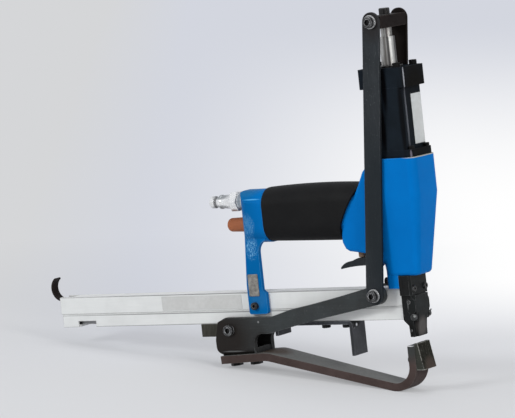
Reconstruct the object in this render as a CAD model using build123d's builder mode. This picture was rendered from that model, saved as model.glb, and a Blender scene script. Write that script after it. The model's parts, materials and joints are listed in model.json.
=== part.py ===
"""Air-driven clinching stapler with a swinging anvil arm, standing on that arm.

Sketches are drawn in tool coordinates, in millimetres: forward from the drive
cylinder's axis, up from the underside of the magazine, left of the middle plane.
The tool planes are pitched so that the arm's toe and its rear bolt touch the floor.
"""
import os
from math import asin, atan2, cos, degrees, hypot, radians, sin, tan

from build123d import *

os.makedirs("parts", exist_ok=True)

# Fits, radial unless they are named a gap
run_fit = 0.05
screw_fit = 0.05
open_pivot_fit = 0.15
slide_gap = 0.3

# Socket screws: shares of the head's radius and height
head_chamfer_share = 0.12
socket_share = 0.55

# Magazine, its underside at height zero
magazine_half = 9.0
magazine_split = 12.0
magazine_top = 28.0
magazine_front = -6.5
split_chamfer = 0.6
sheet = 1.5
rail_floor = 2.0
rail_length = 377.0
rail_rear = magazine_front - rail_length
cover_overhang = 1.3
cover_rear = rail_rear - cover_overhang
window_inset = 17.5
window_length = 20.5
window_top = 5.5
window_rear = rail_rear + window_inset
inner_half = magazine_half - sheet
inner_top = magazine_top - sheet

# Staple rail and the pusher that straddles it, with the roll of its drawn spring
roll_radius = 2.9
roll_half = 4.5
roll_pin_radius = 1.2
roll_head_gap = 0.9
roll_rail_gap = 0.8
roll_inset = 6.0
roll_z = inner_top - roll_head_gap - roll_radius
staple_rail_half = 4.8
staple_rail_top = roll_z - roll_radius - roll_rail_gap
pusher_length = 38.0
pusher_setback = 7.5
pusher_side_gap = 0.5
pusher_head_gap = 0.7
pusher_lift = 4.0
pocket_length = 12.5
pusher_front = magazine_front - pusher_setback
pusher_rear = pusher_front - pusher_length
pusher_half = inner_half - pusher_side_gap
pusher_low = rail_floor + pusher_lift
pusher_top = inner_top - pusher_head_gap
roll_x = pusher_rear + roll_inset

# Rear latch and the block that holds it
latch_inset = 6.5
latch_depth = 5.4
latch_half = 4.5
latch_side_gap = 0.5
latch_strip = 1.6
latch_eye = 2.9
latch_pin_radius = 1.5
latch_foot = 8.0
curl_reach = 7.3
curl_height = 22.1
end_length = 10.5
latch_x = rail_rear + latch_inset
latch_z = magazine_top - latch_depth
latch_slot_half = latch_half + latch_side_gap
latch_foot_z = latch_z + latch_eye - latch_strip
latch_curl_x = latch_x - latch_foot
curl_radius = (curl_reach**2 + curl_height**2) / (2 * curl_height)
end_front = rail_rear + end_length

# Casting: head, and the tab that carries it on the magazine
head_lift = 11.0
head_taper = 71.0
head_straight = 33.5
head_length = 52.0
head_width = 41.0
head_corner = 8.0
head_foot_length = 34.0
head_foot_width = 27.0
head_foot_corner = 6.0
head_foot_back = 2.0
head_foot_round = 4.0
head_bottom = magazine_top + head_lift
head_waist = head_bottom + head_taper
head_top = head_waist + head_straight
tab_length = 12.5
tab_half = 12.5
tab_corner = 3.0
tab_bite = 2.0
tab_screw_y = -7.5
tab_screw_rise = 6.5
tab_screw_length = 8.0
tab_rear = magazine_front - tab_length
tab_screw_z = magazine_top + tab_screw_rise

# Casting: handle and the rubber grip on its core
hand_gap = 44.6
handle_height = 47.8
handle_width = 35.0
handle_corner = 15.0
handle_end_length = 28.0
handle_end_round = 14.0
handle_end_crown = 4.0
handle_low = magazine_top + hand_gap
handle_high = handle_low + handle_height
grip_rear = -140.0
grip_middle = -95.0
grip_front = -34.0
grip_width = 36.0
grip_corner = 16.0
grip_side_wall = 3.0
grip_low_wall = 2.6
grip_high_wall = 3.2
grip_rear_rise = 0.8
grip_rear_height = 48.4
grip_middle_rise = -0.2
grip_middle_height = 51.2
grip_front_rise = -1.2
grip_front_height = 50.6
handle_rear = grip_rear - handle_end_length
core_low = handle_low + grip_rear_rise + grip_low_wall
core_high = handle_low + grip_rear_rise + grip_rear_height - grip_high_wall
core_width = grip_width - 2 * grip_side_wall
core_corner = grip_corner - grip_side_wall
core_bite = 2.0
chamber_wall = 2.5
chamber_front = -66.0
chamber_radius = core_width / 2 - chamber_wall

# Front edge of the grip, a curve that the casting behind the head shares
edge_top_x = -36.0
edge_bow_x = -48.5
edge_turn_x = -56.0
edge_low_x = -60.0
edge_over = 2.5
edge_under = 0.9
edge_bow_drop = 20.5
edge_turn_drop = 33.5
edge_top_z = handle_low + grip_front_rise + grip_front_height + edge_over
edge_low_z = handle_low + grip_front_rise - edge_under

# Casting: leg on the right side of the magazine, with its plate and screw
leg_thick = 4.0
leg_width = 15.0
leg_inset = 1.6
leg_lean = 3.0
leg_root = 19.4
flare_drop = 8.6
flare_run = 9.0
flare_rise = 3.0
foot_heel = 1.6
foot_toe = 3.4
foot_low = 8.6
foot_height = 18.8
foot_slope = 3.0
foot_back = 27.4
foot_corner = 2.2
leg_rear = handle_rear + leg_inset
leg_front = leg_rear + leg_width
foot_rear = leg_rear - foot_heel
foot_front = leg_front + foot_toe
foot_high = foot_low + foot_height
foot_screw_inset = 7.3
foot_screw_rise = 7.6
side_shank = 2.0
side_head = 3.4
side_head_height = 3.6
side_key = 3.0
foot_screw_x = foot_rear + foot_screw_inset
foot_screw_z = foot_low + foot_screw_rise
plate_rear_inset = 0.6
plate_front_inset = 3.6
plate_rise = 16.4
plate_height = 20.0
plate_thick = 0.8
plate_corner = 1.0
plate_rear = leg_rear + plate_rear_inset
plate_front = leg_front - plate_front_inset
plate_low = foot_low + plate_rise
plate_high = plate_low + plate_height

# Trigger valve and trigger
valve_x = -48.6
valve_drop = 10.6
valve_radius = 7.0
valve_length = 28.0
stem_radius = 3.8
stem_proud = 6.2
stem_length = 24.2
stem_room = 3.5
stem_chamfer = 0.6
valve_low = handle_low - valve_drop
valve_high = valve_low + valve_length
stem_low = valve_low - stem_proud
stem_high = stem_low + stem_length
trigger_gap = 0.4
trigger_arm = 18.6
trigger_pin_drop = 3.4
trigger_pin_radius = 1.5
trigger_pin_inset = 0.5
trigger_half = 5.0
trigger_boss = 4.2
trigger_reach = 40.3
trigger_droop = 4.8
trigger_flat = 21.0
trigger_ridge_run = 25.4
trigger_ridge_drop = 1.4
trigger_step_run = 27.6
trigger_step_drop = 2.7
trigger_bow = 1.6
trigger_lip_run = 0.3
trigger_lip_drop = 1.4
finger_hollow = 1.5
trigger_top = stem_low - trigger_gap
trigger_pin_x = valve_x + trigger_arm
trigger_pin_z = trigger_top - trigger_pin_drop
trigger_tip_x = trigger_pin_x - trigger_reach
trigger_tip_z = trigger_pin_z - trigger_droop

# Casting: root of the handle behind the head, and the lugs that carry the trigger
root_half = 15.5
root_round = 4.0
root_inner = -8.0
root_shoulder_x = -26.0
root_top_drop = 3.5
root_shoulder_drop = 5.0
root_neck = 6.0
root_neck_drop = 11.0
root_heel_x = -57.2
root_heel_rise = 2.8
root_step = 4.9
root_step_rise = 0.6
root_land = 2.2
root_throat = 6.0
lug_behind = 4.2
lug_ahead = 5.0
lug_below = 4.5
slot_over = 1.0
slot_front = 3.0
slot_roof = 3.8
lug_rear = trigger_pin_x - lug_behind
lug_front = trigger_pin_x + lug_ahead
lug_low = trigger_pin_z - lug_below
trigger_pin_half = root_half - trigger_pin_inset

# Air plug and silencer: lengths along the plug follow one another from the handle
inlet_rise = 37.7
port_depth = 12.0
plug_thread = 6.0
plug_bore = 3.2
plug_collar = 7.75
plug_collar_length = 5.5
plug_flats = 17.0
plug_hex_length = 7.5
plug_body_root = 6.9
plug_body = 5.9
plug_body_length = 11.0
plug_ridge = 6.5
plug_ridge_slope = 0.8
plug_ridge_length = 1.8
plug_waist = 4.8
plug_waist_slope = 1.0
plug_waist_length = 3.4
plug_tip = 5.6
plug_tip_slope = 1.2
plug_tip_length = 3.9
plug_tip_chamfer = 1.0
inlet_z = handle_low + inlet_rise
plug_hex_end = plug_collar_length + plug_hex_length
plug_ridge_start = plug_hex_end + plug_body_length + plug_ridge_slope
plug_ridge_end = plug_ridge_start + plug_ridge_length
plug_waist_start = plug_ridge_end + plug_waist_slope
plug_waist_end = plug_waist_start + plug_waist_length
plug_tip_start = plug_waist_end + plug_tip_slope
plug_tip_end = plug_tip_start + plug_tip_length
plug_length = plug_tip_end + plug_tip_chamfer
silencer_rise = 16.4
silencer_thread = 5.0
silencer_radius = 6.7
silencer_taper = 1.5
silencer_droop = 6.0
silencer_length = 21.4
silencer_dome = 4.0
silencer_seat_gap = 0.3
silencer_z = handle_low + silencer_rise
silencer_seat = silencer_radius + silencer_seat_gap
silencer_seat_depth = silencer_seat * tan(radians(silencer_droop))

# Drive cylinder, piston and blade
drive_x = 2.6
drive_stroke = 30.0
drive_bore = 11.0
liner_rise = 23.0
liner_wall = 2.0
liner_low = head_bottom + liner_rise
liner_outer = drive_bore + liner_wall
bumper_height = 19.5
bumper_gap = 0.5
stroke_gap = 0.5
piston_height = 18.0
piston_low = liner_low + bumper_height + stroke_gap + drive_stroke
ring_rise = 9.0
ring_height = 3.0
ring_depth = 1.6
ring_low = piston_low + ring_rise
blade_thick = 1.3
blade_width = 12.6
blade_grip = 7.5
blade_pin_rise = 4.0
blade_pin_radius = 1.5
blade_pin_inset = 2.5
passage_gap = 0.6
blade_end = piston_low + blade_grip
blade_pin_z = piston_low + blade_pin_rise
blade_pin_half = drive_bore - blade_pin_inset
bumper_hole = hypot(blade_width / 2, drive_x + blade_thick / 2) + bumper_gap

# Nose: body, cover plate and door
nose_half = 10.6
nose_tip = -15.4
nose_tip_thick = 4.5
nose_knee_thick = 5.1
nose_knee_low = -5.5
nose_rear_low = -0.5
channel_gap = 0.25
staple_floor = 1.5
staple_head = 3.5
flange_drop = 6.4
nose_cover_thick = 3.0
nose_screw_inset = 3.1
nose_screw_rise = 5.7
nose_screw_shank = 1.5
nose_screw_head = 2.8
nose_screw_head_height = 1.6
nose_screw_key = 2.5
nose_screw_length = 9.0
channel_thick = blade_thick + 2 * channel_gap
channel_half = blade_width / 2 + slide_gap
nose_seat = drive_x + channel_thick / 2
blade_tip = nose_tip + drive_stroke
staple_low = rail_floor + staple_floor
staple_high = staple_rail_top + staple_head
flange_half = tab_half
flange_low = magazine_top - flange_drop
nose_screw_y = flange_half - nose_screw_inset
nose_screw_z = flange_low + nose_screw_rise
door_thick = 4.3
door_tip_thick = 1.7
door_tongue_half = 6.7
door_waist = 6.5
door_shoulder = -1.0
door_shoulder_thick = 3.3
door_half = nose_half
door_top = flange_low - slide_gap
door_front = nose_seat + door_thick
ear_thick = 1.3
ear_overlap = 4.7
ear_drop = 2.7
ear_height = 12.8
ear_round = 3.0
ear_pin_head = 1.7
ear_pin_shank = 1.0
ear_pin_proud = 0.7
ear_pin_inset = 2.8
ear_pin_drop = 3.0
ear_rear = nose_seat - ear_overlap
ear_high = door_top - ear_drop
ear_low = ear_high - ear_height
ear_pivot_x = ear_rear + ear_pin_inset
ear_pivot_z = ear_high - ear_pin_drop
roller_set = 1.7
roller_gap = 0.5
roller_radius = 2.9
roller_length = 2.6
roller_shank = 1.2
roller_shank_length = 2.0
roller_x = nose_seat + roller_set
roller_z = ear_low - roller_gap - roller_radius
spot_pin_set = 2.9
spot_pin_rise = 5.8
spot_pin_radius = 1.2
spot_pin_proud = 0.5
spot_pin_x = nose_seat - spot_pin_set
spot_pin_z = nose_tip + spot_pin_rise
hook_wire = 0.7
hook_inset = 2.4
hook_rise = 3.8
hook_run = 4.6
hook_drop = 6.4
hook_lip_run = 1.6
hook_lip_rise = 2.4
hook_bend = 1.1
hook_x = ear_rear + hook_inset
hook_z = ear_low + hook_rise

# Clamp cylinder on the head: base flange, barrel and cover
base_thick = 6.5
barrel_height = 54.6
cover_thick = 17.6
base_high = head_top + base_thick
cover_low = base_high + barrel_height
cover_high = cover_low + cover_thick
barrel_length = 37.5
barrel_width = 35.4
barrel_corner = 3.5
flange_screw_shank = 1.5
flange_screw_head = 2.5
flange_screw_head_height = 3.0
flange_screw_key = 2.5
flange_screw_length = 16.0
flange_screw_gap = 0.05
flange_screw_inset = 5.2
flange_edge = 0.2
flange_screw_x = barrel_length / 2 + flange_screw_gap + flange_screw_head
flange_length = 2 * (flange_screw_x + flange_screw_head + flange_edge)
flange_screw_y = barrel_width / 2 - flange_screw_inset
tie_shank = 2.0
tie_head = 3.5
tie_head_height = 4.0
tie_key = 3.0
tie_inset_x = 3.55
tie_inset_y = 4.0
tie_floor = 2.0
tie_x = barrel_length / 2 - tie_inset_x
tie_y = barrel_width / 2 - tie_inset_y
tie_end = head_top + tie_floor
groove_inset = 6.7
groove_width = 2.0
groove_depth = 1.6
groove_y = groove_inset - barrel_width / 2
label_thick = 0.3
label_gap = 0.6
label_head_gap = 7.1
label_edge = 3.1
label_right = -1.3
label_left = barrel_width / 2 - label_edge
label_low = base_high + flange_screw_head_height + label_gap
label_high = cover_low - label_head_gap

# Clamp piston, rod and the crosshead on it
clamp_bore = 12.0
clamp_piston_gap = 0.6
clamp_piston_height = 9.4
rod_radius = 7.0
rod_out = 34.8
rod_neck = 5.0
neck_length = 8.0
spigot_wall = 1.0
spigot_length = 5.0
bush_radius = 10.0
bush_length = 15.0
bush_collar = 11.2
bush_collar_height = 1.3
crosshead_drop = 6.6
crosshead_reach = 8.4
crosshead_screw_end = 8.0
cap_rise = 4.2
cap_head = 4.8
cap_head_height = 6.0
cap_shank = 3.0
cap_key = 4.0
cap_length = 17.0
rod_low = base_high + clamp_piston_gap + clamp_piston_height
crosshead_low = cover_high + rod_out
rod_shoulder = crosshead_low - neck_length
rod_spigot = cap_shank + spigot_wall
rod_end = crosshead_low + spigot_length
link_top_z = crosshead_low + crosshead_drop
cap_flat = link_top_z + cap_rise

# Links beside the head and the screws they turn on
link_low_x = -25.7
link_low_z = 23.9
link_width = 16.8
link_thick = 3.0
link_gap = 0.9
crosshead_gap = 0.5
pivot_shank = 3.0
pivot_head = 5.0
pivot_head_height = 4.0
pivot_key = 5.0
washer_radius = 6.0
washer_thick = 1.6
washer_gap = 0.15
link_inner = head_width / 2 + link_gap
crosshead_half = link_inner - crosshead_gap
washer_seat = link_inner + link_thick + washer_gap
head_seat = washer_seat + washer_thick

# Lever, bent from plate: runs and rises of its outline are measured from its pivot
plate = 5.0
pivot_x = -190.0
pivot_drop = 5.0
pivot_screw_end = 3.0
cheek_gap = 2.0
joggle_run = 66.0
joggle_length = 21.0
lever_tail = 16.5
lever_tail_drop = 8.7
lever_tail_round = 9.0
lever_corner_run = 12.5
lever_corner_rise = 7.5
lever_back_rise = 11.2
lever_back_start = 4.0
lever_back_end = 46.0
lever_shoulder_run = 69.0
lever_shoulder_rise = 17.6
lever_hollow = 0.8
lever_knee_run = 91.0
lever_knee_rise = 6.8
lever_step_run = 44.0
lever_step_drop = 3.7
lever_round = 8.6
lever_lean = 11.0
notch_radius = 9.0
notch_drop = 4.0
web_bend = 6.5
pivot_z = -pivot_drop
cheek_inner = magazine_half + cheek_gap
arms_inner = link_inner - slide_gap - plate
joggle_rear = pivot_x + joggle_run
joggle_front = joggle_rear + joggle_length
lever_rear = pivot_x - lever_tail
lever_front_top = link_low_z + lever_round
round_run = lever_round * sin(radians(lever_lean))
round_rise = lever_round * cos(radians(lever_lean))
notch_z = pivot_z - notch_drop

# Pivot block under the magazine
block_behind = 35.5
block_ahead = 23.0
block_depth = 11.5
block_corner = 1.5
block_screw_rear_inset = 8.5
block_screw_front_inset = 9.0
under_shank = 2.5
under_head = 4.0
under_head_height = 4.0
under_key = 4.0
under_screw_top = 9.0
block_rear = pivot_x - block_behind
block_front = pivot_x + block_ahead
block_half = cheek_inner - slide_gap
block_screw_rear = block_rear + block_screw_rear_inset
block_screw_front = block_front - block_screw_front_inset

# Stop plate under the magazine
stop_thick = 3.0
stop_gap = 23.0
stop_length = 82.8
stop_rear_drop = 12.0
stop_front_drop = 31.3
stop_bend = 3.5
stop_bolt_inset = 12.3
stop_bolt_pitch = 21.9
stop_eye_radius = 1.3
stop_eye_drop = 5.4
stop_eye_y = -7.5
stop_overhang = 1.5
stop_half = magazine_half + stop_overhang
stop_rear = block_front + stop_gap
stop_front = stop_rear + stop_length
stop_bolt_front = stop_front - stop_bolt_inset
stop_bolt_rear = stop_bolt_front - stop_bolt_pitch

# Blank label on the magazine
name_gap = 10.2
name_length = 89.0
name_low_edge = 1.5
name_high_edge = 1.7
name_front = foot_rear - name_gap
name_rear = name_front - name_length
name_low = magazine_split + name_low_edge
name_high = magazine_top - name_high_edge

# Anvil arm, its bolts and its pad
arm_thick = 7.2
arm_inset = 3.5
arm_drop = 31.05
arm_base = 49.2
base_slope = 2.8
arm_slope = 12.9
arm_bend_radius = 25.0
arm_front_half = 10.5
arm_taper_end = 13.2
web_short = 10.8
toe_setback = 1.4
toe_radius = 22.0
arm_bolt_rear = 6.0
arm_bolt_pitch = 21.7
arm_bolt_flats = 10.0
arm_bolt_head = 4.0
arm_bolt_shank = 3.0
arm_bolt_end = 1.5
arm_rear = lever_rear + arm_inset
arm_rear_low = pivot_z - arm_drop
arm_rear_half = cheek_inner + plate
arm_bend = arm_rear + arm_base
arm_bolt_front = arm_bolt_rear + arm_bolt_pitch
notch_x = arm_bend - web_short
toe_front = drive_x - toe_setback
arm_taper_front = toe_front - arm_taper_end
jaw_gap = 5.9
pad_height = 23.7
pad_top_thick = 3.4
pad_low_thick = 8.0
pad_side_inset = 0.25
pad_over_tip = 2.0
clinch_spread = 5.0
clinch_radius = 2.2
clinch_depth = 0.6
clinch_half = 2.3
pad_screw_drop = 14.7
pad_screw_shank = 2.0
pad_screw_head = 3.5
pad_screw_head_height = 2.2
pad_screw_depth = 5.0
pad_screw_key = 2.5
pad_top = nose_tip - jaw_gap
pad_low = pad_top - pad_height
pad_low_front = toe_front + pad_low_thick
pad_half = arm_front_half - pad_side_inset
pad_screw_z = pad_top - pad_screw_drop
arm_tip = pad_top - pad_over_tip

# Pitch at which the tool rests on the toe of the arm and on the head of the rear arm bolt
bend_low = arm_rear_low + arm_base * tan(radians(base_slope))
toe_x = toe_front - toe_radius
toe_z = bend_low - (toe_x - arm_bend) * tan(radians(arm_slope)) + toe_radius / cos(radians(arm_slope))
heel_run = arm_bolt_rear - arm_bolt_flats / 2
heel_x = arm_rear + heel_run * cos(radians(base_slope)) + arm_bolt_head * sin(radians(base_slope))
heel_z = arm_rear_low + heel_run * sin(radians(base_slope)) - arm_bolt_head * cos(radians(base_slope))
stance_x = toe_x - heel_x
stance_z = toe_z - heel_z
rest_pitch = asin(toe_radius / hypot(stance_x, stance_z)) - atan2(stance_z, stance_x)

# Where the drive axis stands: zero is midway between the pad's foot and the latch's curl, on the floor
forward = (cos(rest_pitch), 0, sin(rest_pitch))
upward = (-sin(rest_pitch), 0, cos(rest_pitch))
front_reach = pad_low_front * forward[0] + pad_low * upward[0]
rear_reach = latch_curl_x * forward[0] + (latch_foot_z + curl_radius) * upward[0] - curl_radius
stand_x = -(front_reach + rear_reach) / 2
stand_z = -heel_x * forward[2] - heel_z * upward[2]
print("rest pitch in degrees:", round(degrees(rest_pitch), 4))
print("drive axis stands at:", round(stand_x, 4), round(stand_z, 4))

# SIDE looks at the tool's right side: first axis forward, second axis up, normal to the right.
# DECK looks down on it: first axis forward, second axis left, normal up.
SIDE = Plane(origin=(stand_x, 0, stand_z), x_dir=forward, z_dir=(0, -1, 0))
DECK = Plane(origin=(stand_x, 0, stand_z), x_dir=forward, z_dir=upward)
MIDDLE = Plane.XZ


def moved(plane, x, y, height=0.0):
    """The same plane with its origin moved to a point given in its own coordinates."""
    return Plane(origin=plane.from_local_coords((x, y, height)), x_dir=plane.x_dir, z_dir=plane.z_dir)


def across(x, facing=1):
    """Plane across the tool, facing forward or back: second axis up."""
    normal = (facing * forward[0], 0, facing * forward[2])
    return Plane(origin=SIDE.from_local_coords((x, 0, 0)), x_dir=(0, facing, 0), z_dir=normal)


def cap_screw(seat, head_radius, head_height, shank_radius, shank_length, key):
    """Socket screw: the head stands on its seat plane and the shank goes below it."""
    with BuildPart() as screw:
        with BuildSketch(seat):
            Circle(head_radius)
        extrude(amount=head_height)
        top_edge = screw.faces().sort_by(Axis(seat.origin, seat.z_dir))[-1].edges()
        chamfer(top_edge, length=head_chamfer_share * head_radius)
        with BuildSketch(moved(seat, 0, 0, head_height)):
            RegularPolygon(key / 2, 6, major_radius=False)
        extrude(amount=-socket_share * head_height, mode=Mode.SUBTRACT)
        with BuildSketch(seat):
            Circle(shank_radius)
        extrude(amount=-shank_length)
    return screw.part


def hex_bolt(seat, flats, head_height, shank_radius, shank_length):
    """Hexagon bolt: the head stands on its seat plane and the shank goes below it."""
    with BuildPart() as bolt:
        with BuildSketch(seat):
            RegularPolygon(flats / 2, 6, major_radius=False, rotation=30)
        extrude(amount=head_height)
        with BuildSketch(seat):
            Circle(shank_radius)
        extrude(amount=-shank_length)
    return bolt.part


def washer(seat, hole):
    """Flat washer standing on its seat plane."""
    with BuildPart() as ring:
        with BuildSketch(seat):
            Circle(washer_radius)
            Circle(hole, mode=Mode.SUBTRACT)
        extrude(amount=washer_thick)
    return ring.part


def link_plate(low_hole):
    """One flat link, right side, from the crosshead pivot down to the lever pivot."""
    with BuildPart() as link:
        with BuildSketch(moved(SIDE, 0, 0, link_inner)):
            with BuildLine():
                centre_line = Line((0, link_top_z), (link_low_x, link_low_z))
            SlotCenterPoint(centre_line @ 0.5, centre_line @ 1, link_width)
            with Locations((0, link_top_z)):
                Circle(pivot_shank + run_fit, mode=Mode.SUBTRACT)
            with Locations((link_low_x, link_low_z)):
                Circle(low_hole, mode=Mode.SUBTRACT)
        extrude(amount=link_thick)
    return link.part


# Lever underside plane, which carries the anvil arm and its two bolts
web_pitch = rest_pitch + radians(base_slope)
WEB = Plane(
    origin=SIDE.from_local_coords((arm_rear, arm_rear_low, 0)),
    x_dir=(cos(web_pitch), 0, sin(web_pitch)),
    z_dir=(-sin(web_pitch), 0, cos(web_pitch)),
)
web_low = arm_rear_low + arm_thick / cos(radians(base_slope))


def web_under(x):
    """Height of the lever's underside, which is the top of the arm's flat base."""
    return web_low + (x - arm_rear) * tan(radians(base_slope))


# Front edge of the grip, from its top to its foot
grip_edge = [
    (edge_top_x, edge_top_z),
    (edge_bow_x, edge_top_z - edge_bow_drop),
    (edge_turn_x, edge_top_z - edge_turn_drop),
    (edge_low_x, edge_low_z),
]

# Handle root between head and grip, with the lugs that carry the trigger
with BuildPart() as handle_root:
    with BuildSketch(SIDE):
        with BuildLine():
            Polyline(
                (root_inner, head_top - root_top_drop),
                (root_shoulder_x, head_top - root_shoulder_drop),
                (root_shoulder_x - root_neck, head_top - root_neck_drop),
                grip_edge[0],
            )
            Spline(*grip_edge)
            Polyline(
                grip_edge[-1],
                (root_heel_x, valve_low + root_heel_rise),
                (valve_x - root_step, valve_low + root_step_rise),
                (lug_rear, valve_low - root_land),
                (lug_rear, lug_low),
                (lug_front, lug_low),
                (lug_front + root_throat, trigger_pin_z),
                (root_inner, trigger_pin_z),
                (root_inner, head_top - root_top_drop),
            )
        make_face()
    extrude(amount=root_half, both=True)
    fillet(handle_root.faces().sort_by(Axis.Y)[0].edges(), radius=root_round)
    fillet(handle_root.faces().sort_by(Axis.Y)[-1].edges(), radius=root_round)

# Rear end of the handle, rounded in plan and a little at its top and foot
with BuildPart() as handle_end:
    with BuildSketch(across(grip_rear)):
        with Locations((0, (handle_low + handle_high) / 2)):
            RectangleRounded(handle_width, handle_height, handle_corner)
    extrude(amount=handle_rear - grip_rear)
    with BuildSketch(moved(DECK, handle_rear, 0, handle_low)):
        RectangleRounded(
            2 * (grip_rear - handle_rear), handle_width, handle_end_round, align=(Align.MIN, Align.CENTER)
        )
    extrude(amount=handle_height, mode=Mode.INTERSECT)
    with BuildSketch(moved(SIDE, handle_rear, (handle_low + handle_high) / 2)):
        RectangleRounded(
            2 * (grip_rear - handle_rear), handle_height, handle_end_crown, align=(Align.MIN, Align.CENTER)
        )
    extrude(amount=handle_width, both=True, mode=Mode.INTERSECT)

# Leg on the right side of the magazine, foot to handle
with BuildPart() as leg:
    with BuildSketch(moved(SIDE, 0, 0, magazine_half)) as leg_shape:
        with BuildLine():
            Polyline(
                (foot_rear, foot_low),
                (foot_front, foot_low),
                (foot_front, foot_high),
                (leg_front, foot_high + foot_slope),
                (leg_front, handle_low - flare_drop),
            )
            flare = TangentArc(
                (leg_front, handle_low - flare_drop),
                (leg_front + flare_run, handle_low + flare_rise),
                tangent=(0, 1),
            )
            Polyline(
                flare @ 1,
                (leg_front + flare_run, handle_low + leg_root),
                (leg_rear + leg_lean, handle_low + leg_root),
                (foot_rear, foot_low + foot_back),
                (foot_rear, foot_low),
            )
        make_face()
        fillet(leg_shape.vertices().group_by(Axis.Y)[0], radius=foot_corner)
    extrude(amount=leg_thick)

# Seat of the silencer, sunk into the handle's end and drooping a little to the rear
seat_plane = moved(across(handle_rear, -1), 0, silencer_z, -silencer_seat_depth)
quiet_plane = seat_plane.rotated((silencer_droop, 0, 0))

with BuildPart() as housing:
    with BuildSketch(moved(DECK, -head_foot_back, 0, head_bottom)):
        RectangleRounded(head_foot_length, head_foot_width, head_foot_corner)
    with BuildSketch(moved(DECK, 0, 0, head_waist)):
        RectangleRounded(head_length, head_width, head_corner)
    loft()
    fillet(housing.faces().sort_by(Axis(DECK.origin, DECK.z_dir))[0].edges(), radius=head_foot_round)
    with BuildSketch(moved(DECK, 0, 0, head_waist)):
        RectangleRounded(head_length, head_width, head_corner)
    extrude(amount=head_straight)
    add(handle_root.part)
    add(handle_end.part)
    add(leg.part)
    with BuildSketch(across(grip_rear - core_bite)):
        with Locations((0, (core_low + core_high) / 2)):
            RectangleRounded(core_width, core_high - core_low, core_corner)
    extrude(amount=grip_front - grip_rear)
    with BuildSketch(moved(DECK, tab_rear, 0, magazine_top)):
        RectangleRounded(
            2 * tab_length, 2 * tab_half, tab_corner, align=(Align.MIN, Align.CENTER)
        )
        with Locations((tab_length, 0)):
            Rectangle(2 * tab_length, 4 * tab_half, align=(Align.MIN, Align.CENTER), mode=Mode.SUBTRACT)
    extrude(amount=head_lift + head_foot_round + tab_bite)
    # Bore for the drive cylinder and the passage for the blade
    with BuildSketch(moved(DECK, 0, 0, liner_low)):
        Circle(liner_outer + screw_fit)
    extrude(amount=head_top - liner_low, mode=Mode.SUBTRACT)
    with BuildSketch(moved(DECK, drive_x, 0, head_bottom)):
        Rectangle(blade_thick + 2 * passage_gap, blade_width + 2 * passage_gap)
    extrude(amount=liner_rise, mode=Mode.SUBTRACT)
    # Air chamber in the handle and the two threaded ports that open into it
    with BuildSketch(across(handle_rear + port_depth)):
        with Locations((0, (inlet_z + silencer_z) / 2)):
            Circle(chamber_radius)
    extrude(amount=chamber_front - handle_rear - port_depth, mode=Mode.SUBTRACT)
    with BuildSketch(across(handle_rear)):
        with Locations((0, inlet_z)):
            Circle(plug_thread + screw_fit)
    extrude(amount=port_depth, mode=Mode.SUBTRACT)
    with BuildSketch(quiet_plane):
        Circle(silencer_thread + screw_fit)
    extrude(amount=-port_depth, mode=Mode.SUBTRACT)
    with BuildSketch(quiet_plane):
        Circle(silencer_seat)
    extrude(amount=silencer_length, mode=Mode.SUBTRACT)
    # Trigger valve bore, trigger slot and pin hole
    with BuildSketch(moved(DECK, valve_x, 0, stem_low)):
        Circle(valve_radius + screw_fit)
    extrude(amount=valve_high - stem_low, mode=Mode.SUBTRACT)
    with BuildSketch(SIDE):
        Polygon(
            (lug_rear - slot_over, lug_low - slot_over),
            (lug_front + slot_front, lug_low - slot_over),
            (lug_front + slot_front, trigger_pin_z),
            (lug_front, valve_low - slot_roof),
            (lug_rear - slot_over, valve_low - slot_roof),
            align=None,
        )
    extrude(amount=trigger_half + slide_gap, both=True, mode=Mode.SUBTRACT)
    with BuildSketch(moved(SIDE, trigger_pin_x, trigger_pin_z)):
        Circle(trigger_pin_radius + screw_fit)
    extrude(amount=root_half, both=True, mode=Mode.SUBTRACT)
    # Holes for the flange, foot and tab screws
    with BuildSketch(moved(DECK, 0, 0, head_top)):
        with GridLocations(2 * flange_screw_x, 2 * flange_screw_y, 2, 2):
            Circle(flange_screw_shank + screw_fit)
    extrude(amount=base_thick - flange_screw_length, mode=Mode.SUBTRACT)
    with BuildSketch(moved(SIDE, foot_screw_x, foot_screw_z, magazine_half)):
        Circle(side_shank + screw_fit)
    extrude(amount=leg_thick, mode=Mode.SUBTRACT)
    with BuildSketch(across(tab_rear)):
        with Locations((tab_screw_y, tab_screw_z)):
            Circle(side_shank + screw_fit)
    extrude(amount=tab_screw_length, mode=Mode.SUBTRACT)
housing.part.label = "housing"
export_step(housing.part, "parts/housing.step")

# Rubber grip: a crowned sleeve over the handle core, cut along the casting's edge
with BuildPart() as grip_sleeve:
    sections = [
        (grip_rear, grip_rear_rise, grip_rear_height),
        (grip_middle, grip_middle_rise, grip_middle_height),
        (grip_front, grip_front_rise, grip_front_height),
    ]
    for section_x, section_rise, section_height in sections:
        with BuildSketch(across(section_x)):
            with Locations((0, handle_low + section_rise + section_height / 2)):
                RectangleRounded(grip_width, section_height, grip_corner)
    loft()
    with BuildSketch(across(grip_rear)):
        with Locations((0, (core_low + core_high) / 2)):
            RectangleRounded(core_width, core_high - core_low, core_corner)
    extrude(amount=grip_front - grip_rear, mode=Mode.SUBTRACT)
    with BuildSketch(SIDE):
        with BuildLine():
            Spline(*grip_edge)
            Polyline(grip_edge[-1], (0, edge_low_z), (0, edge_top_z), grip_edge[0])
        make_face()
    extrude(amount=grip_width, both=True, mode=Mode.SUBTRACT)
grip_sleeve.part.label = "grip_sleeve"
export_step(grip_sleeve.part, "parts/grip_sleeve.step")

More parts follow.
